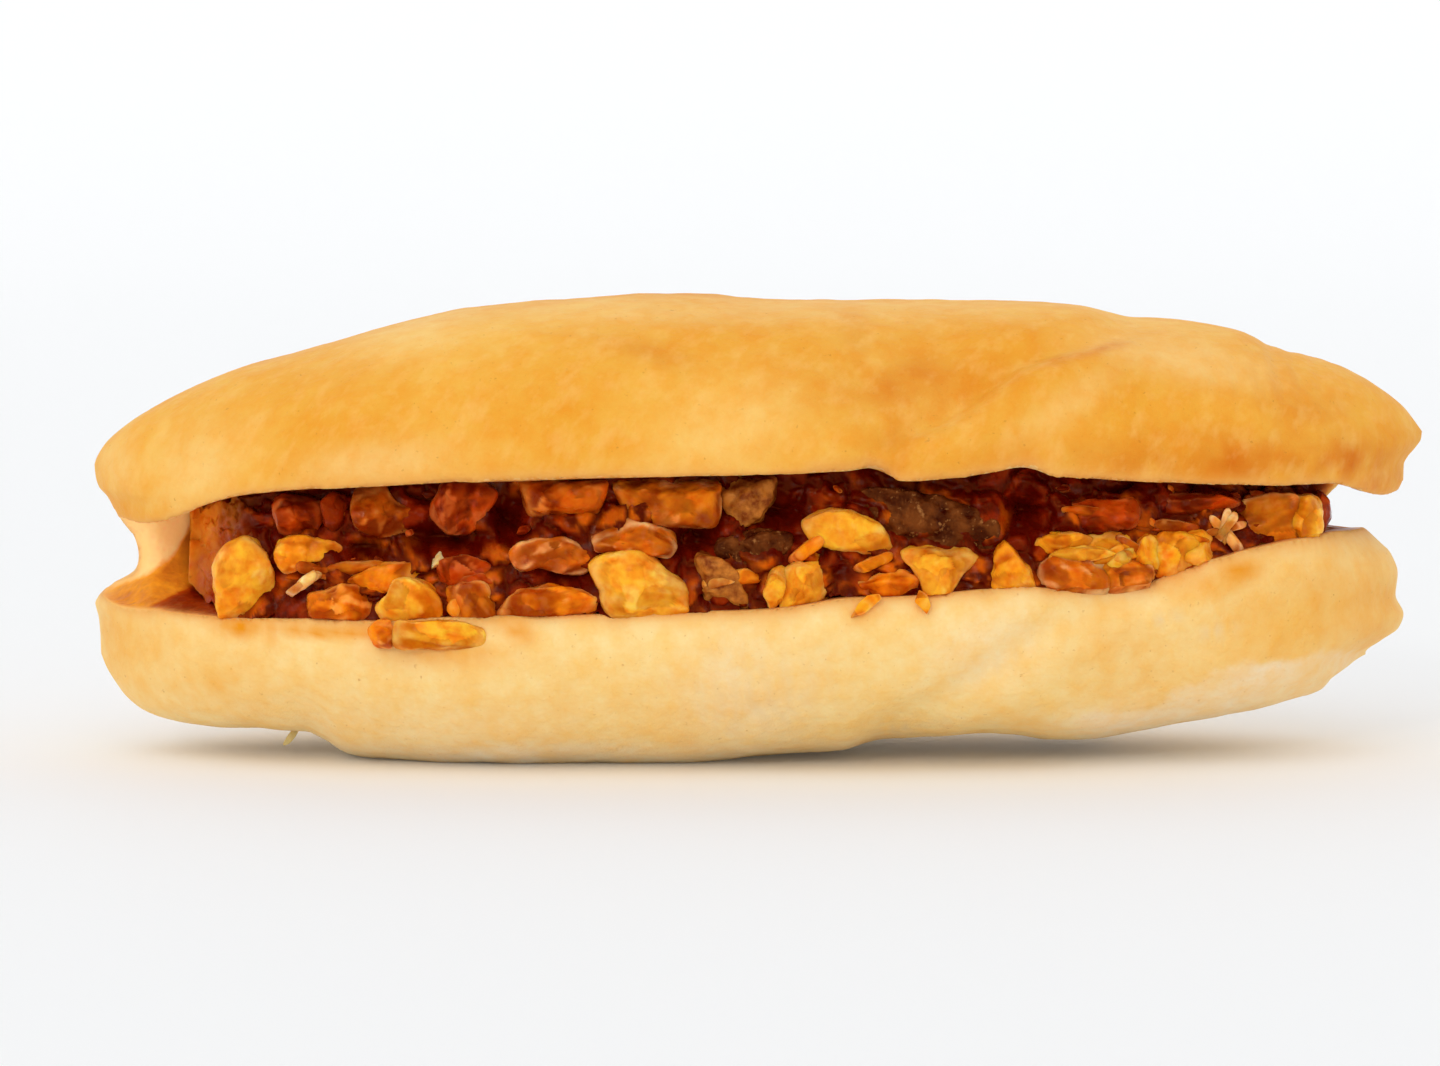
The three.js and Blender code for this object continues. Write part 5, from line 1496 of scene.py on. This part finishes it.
# %% Pepper slab and scrap, and two pieces of onion
VEGETABLES = {  # inset, depth, corners
    "pepper_slab": (8.4, 7, [(13.4, 43), (15.5, 44.2), (18.6, 44.2), (26.3, 43.6), (30.9, 42),
                             (34.8, 40.4), (37, 38), (36.5, 35.4), (33.3, 33.7), (27.9, 33.8),
                             (22, 34.6), (18.5, 38), (15, 41)]),
    "pepper_scrap": (7.8, 6, [(-6.7, 34.5), (-5.7, 37.3), (-2.2, 37.6), (2.5, 38), (5.2, 37),
                              (4.9, 34.5), (3.2, 32.6), (-1.4, 32.4), (-5.3, 32.8)]),
    "onion_front": (6, 7, [(-10, 33.1), (-9.1, 34.3), (-5.7, 33.7), (-3.7, 32.3), (-2.2, 29.5),
                           (-1.5, 28.1), (-1.3, 25.8), (-4.8, 25.2), (-7.9, 25.7), (-9.1, 29.2)]),
    "onion_top": (10.6, 8, [(-5.6, 45.6), (-5.3, 41), (-4.3, 38.4), (-2.6, 38.1), (0.1, 38.7),
                            (2.5, 42.3), (2.6, 45.6)]),
}
VEGETABLE_SEED = 141
for number, (name, (inset, deep, corners)) in enumerate(VEGETABLES.items()):
    shape = lump(corners, inset, deep, np.random.default_rng(VEGETABLE_SEED + number), lumps=0.7)[0]
    piece = piece_from(name + "_cooked", shape)
    is_pepper = name.startswith("pepper")
    piece.data.materials.append(pepper_finish if is_pepper else onion_finish)
    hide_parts(name)
    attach(piece, "root")
    print(piece.name, len(piece.data.polygons), "faces")

# %% [markdown]
# ## A flake of crumb
#
# A thin flake of bread hangs under the base near its left end. It is one more lump, so it needs nothing
# new. It is too thin for the solid model, so it is made only here.

# %% The flake under the base
FLAKE = [(-75, 1.5), (-74, 1.7), (-73.1, 2.8), (-72.1, 4.6), (-72.7, 5), (-73.9, 3.4)]  # x, z
FLAKE_INSET, FLAKE_DEEP, FLAKE_SEED = 22.7, 1.6, 241
flake_rng = np.random.default_rng(FLAKE_SEED)
flake_shape = lump(FLAKE, FLAKE_INSET, FLAKE_DEEP, flake_rng, lumps=0.1, grid=(28, 14))[0]
flake = piece_from("crumb_flake", flake_shape)
flake.data.materials.append(crumb_finish)
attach(flake, "root")
print("flake:", len(flake.data.polygons), "faces")

# %% [markdown]
# ## A plain studio
#
# A photographer would stand the sandwich on a sheet of white card that curves up behind it, under a white
# tent. The sheet is the floor, and it glows faintly, as brightly lit card seems to. The even white sky is
# the tent. One large soft sun from above and in front gives the form some shade, and a small lamp beside it
# puts sharper glints on the sauce. The camera stands where the photo was taken from, 5 degrees above the
# table. Its lens is long, so that the frame is 228 mm wide at the roll.

# %% The sheet of card
SHEET = {"half_width": 6000, "front": -6000, "bend_from": 1500, "bend_radius": 900, "top": 4000}  # mm


def sheet_shape():
    """A strip of quads: flat, then a quarter circle, then upright."""
    turn = np.linspace(0, np.pi / 2, 25)
    y = SHEET["bend_from"] + SHEET["bend_radius"] * np.sin(turn)
    z = SHEET["bend_radius"] * (1 - np.cos(turn))
    y, z = np.concatenate([[SHEET["front"]], y, y[-1:]]), np.concatenate([[0], z, [SHEET["top"]]])
    x = SHEET["half_width"] + 0 * y
    points = np.stack([np.stack([-x, y, z], -1), np.stack([x, y, z], -1)], 1).reshape(-1, 3)
    i = np.arange(len(y) - 1)[:, None] * 2
    return points, i + np.array([0, 1, 3, 2]), np.empty((0, 3), int)


floor = piece_from("floor", sheet_shape())
floor_finish, tree, shader, place = new_material("white_card")
set_inputs(tree, shader, {
    "Base Color": "#F7F8F9", "Roughness": 0.7, "Specular IOR Level": 0.1,
    "Emission Color": "#FFFFFF", "Emission Strength": 0.02,
})
floor.data.materials.append(floor_finish)
print("sheet of card:", len(floor.data.polygons), "faces")

# %% Two lamps and the sky
LAMPS = {  # strength, how wide it is in degrees, and the way towards it
    "soft_sun": (0.53, 60, (-0.35, -1.0, 0.8)),
    "small_lamp": (0.22, 6, (-0.3, -1.0, 0.45)),
}
for name, (strength, wide, towards) in LAMPS.items():
    light = bpy.data.lights.new(name, "SUN")
    light.energy, light.angle = strength, np.radians(wide)
    lamp = bpy.data.objects.new(name, light)
    bpy.context.scene.collection.objects.link(lamp)
    lamp.rotation_euler = Vector(towards).to_track_quat("Z", "Y").to_euler()
world = bpy.data.worlds.new("white_sky")
bpy.context.scene.world = world
world.use_nodes = True
set_inputs(world.node_tree, world.node_tree.nodes["Background"], {"Color": "#FFFFFF", "Strength": 0.8})
bpy.context.scene.view_settings.view_transform = "Standard"
print("lamps:", ", ".join(LAMPS))

# %% The camera
CAMERA = {"elevation": 5, "distance": 900, "target": (-6, 0, 34.6), "frame_width": 1440 * 0.1583}  # mm
SENSOR = 36  # mm
camera_data = bpy.data.cameras.new("photo_camera")
camera_data.sensor_width = SENSOR
camera_data.lens = SENSOR * CAMERA["distance"] / CAMERA["frame_width"]
camera_data.clip_end = 100
camera = bpy.data.objects.new("photo_camera", camera_data)
bpy.context.scene.collection.objects.link(camera)
tilt = np.radians(CAMERA["elevation"])
back_off = np.array([0, -np.cos(tilt), np.sin(tilt)]) * CAMERA["distance"]
camera.location = (np.array(CAMERA["target"]) + back_off) * MM
camera.rotation_euler = (np.pi / 2 - tilt, 0, 0)
bpy.context.scene.camera = camera
print("lens:", round(camera_data.lens, 1), "mm")
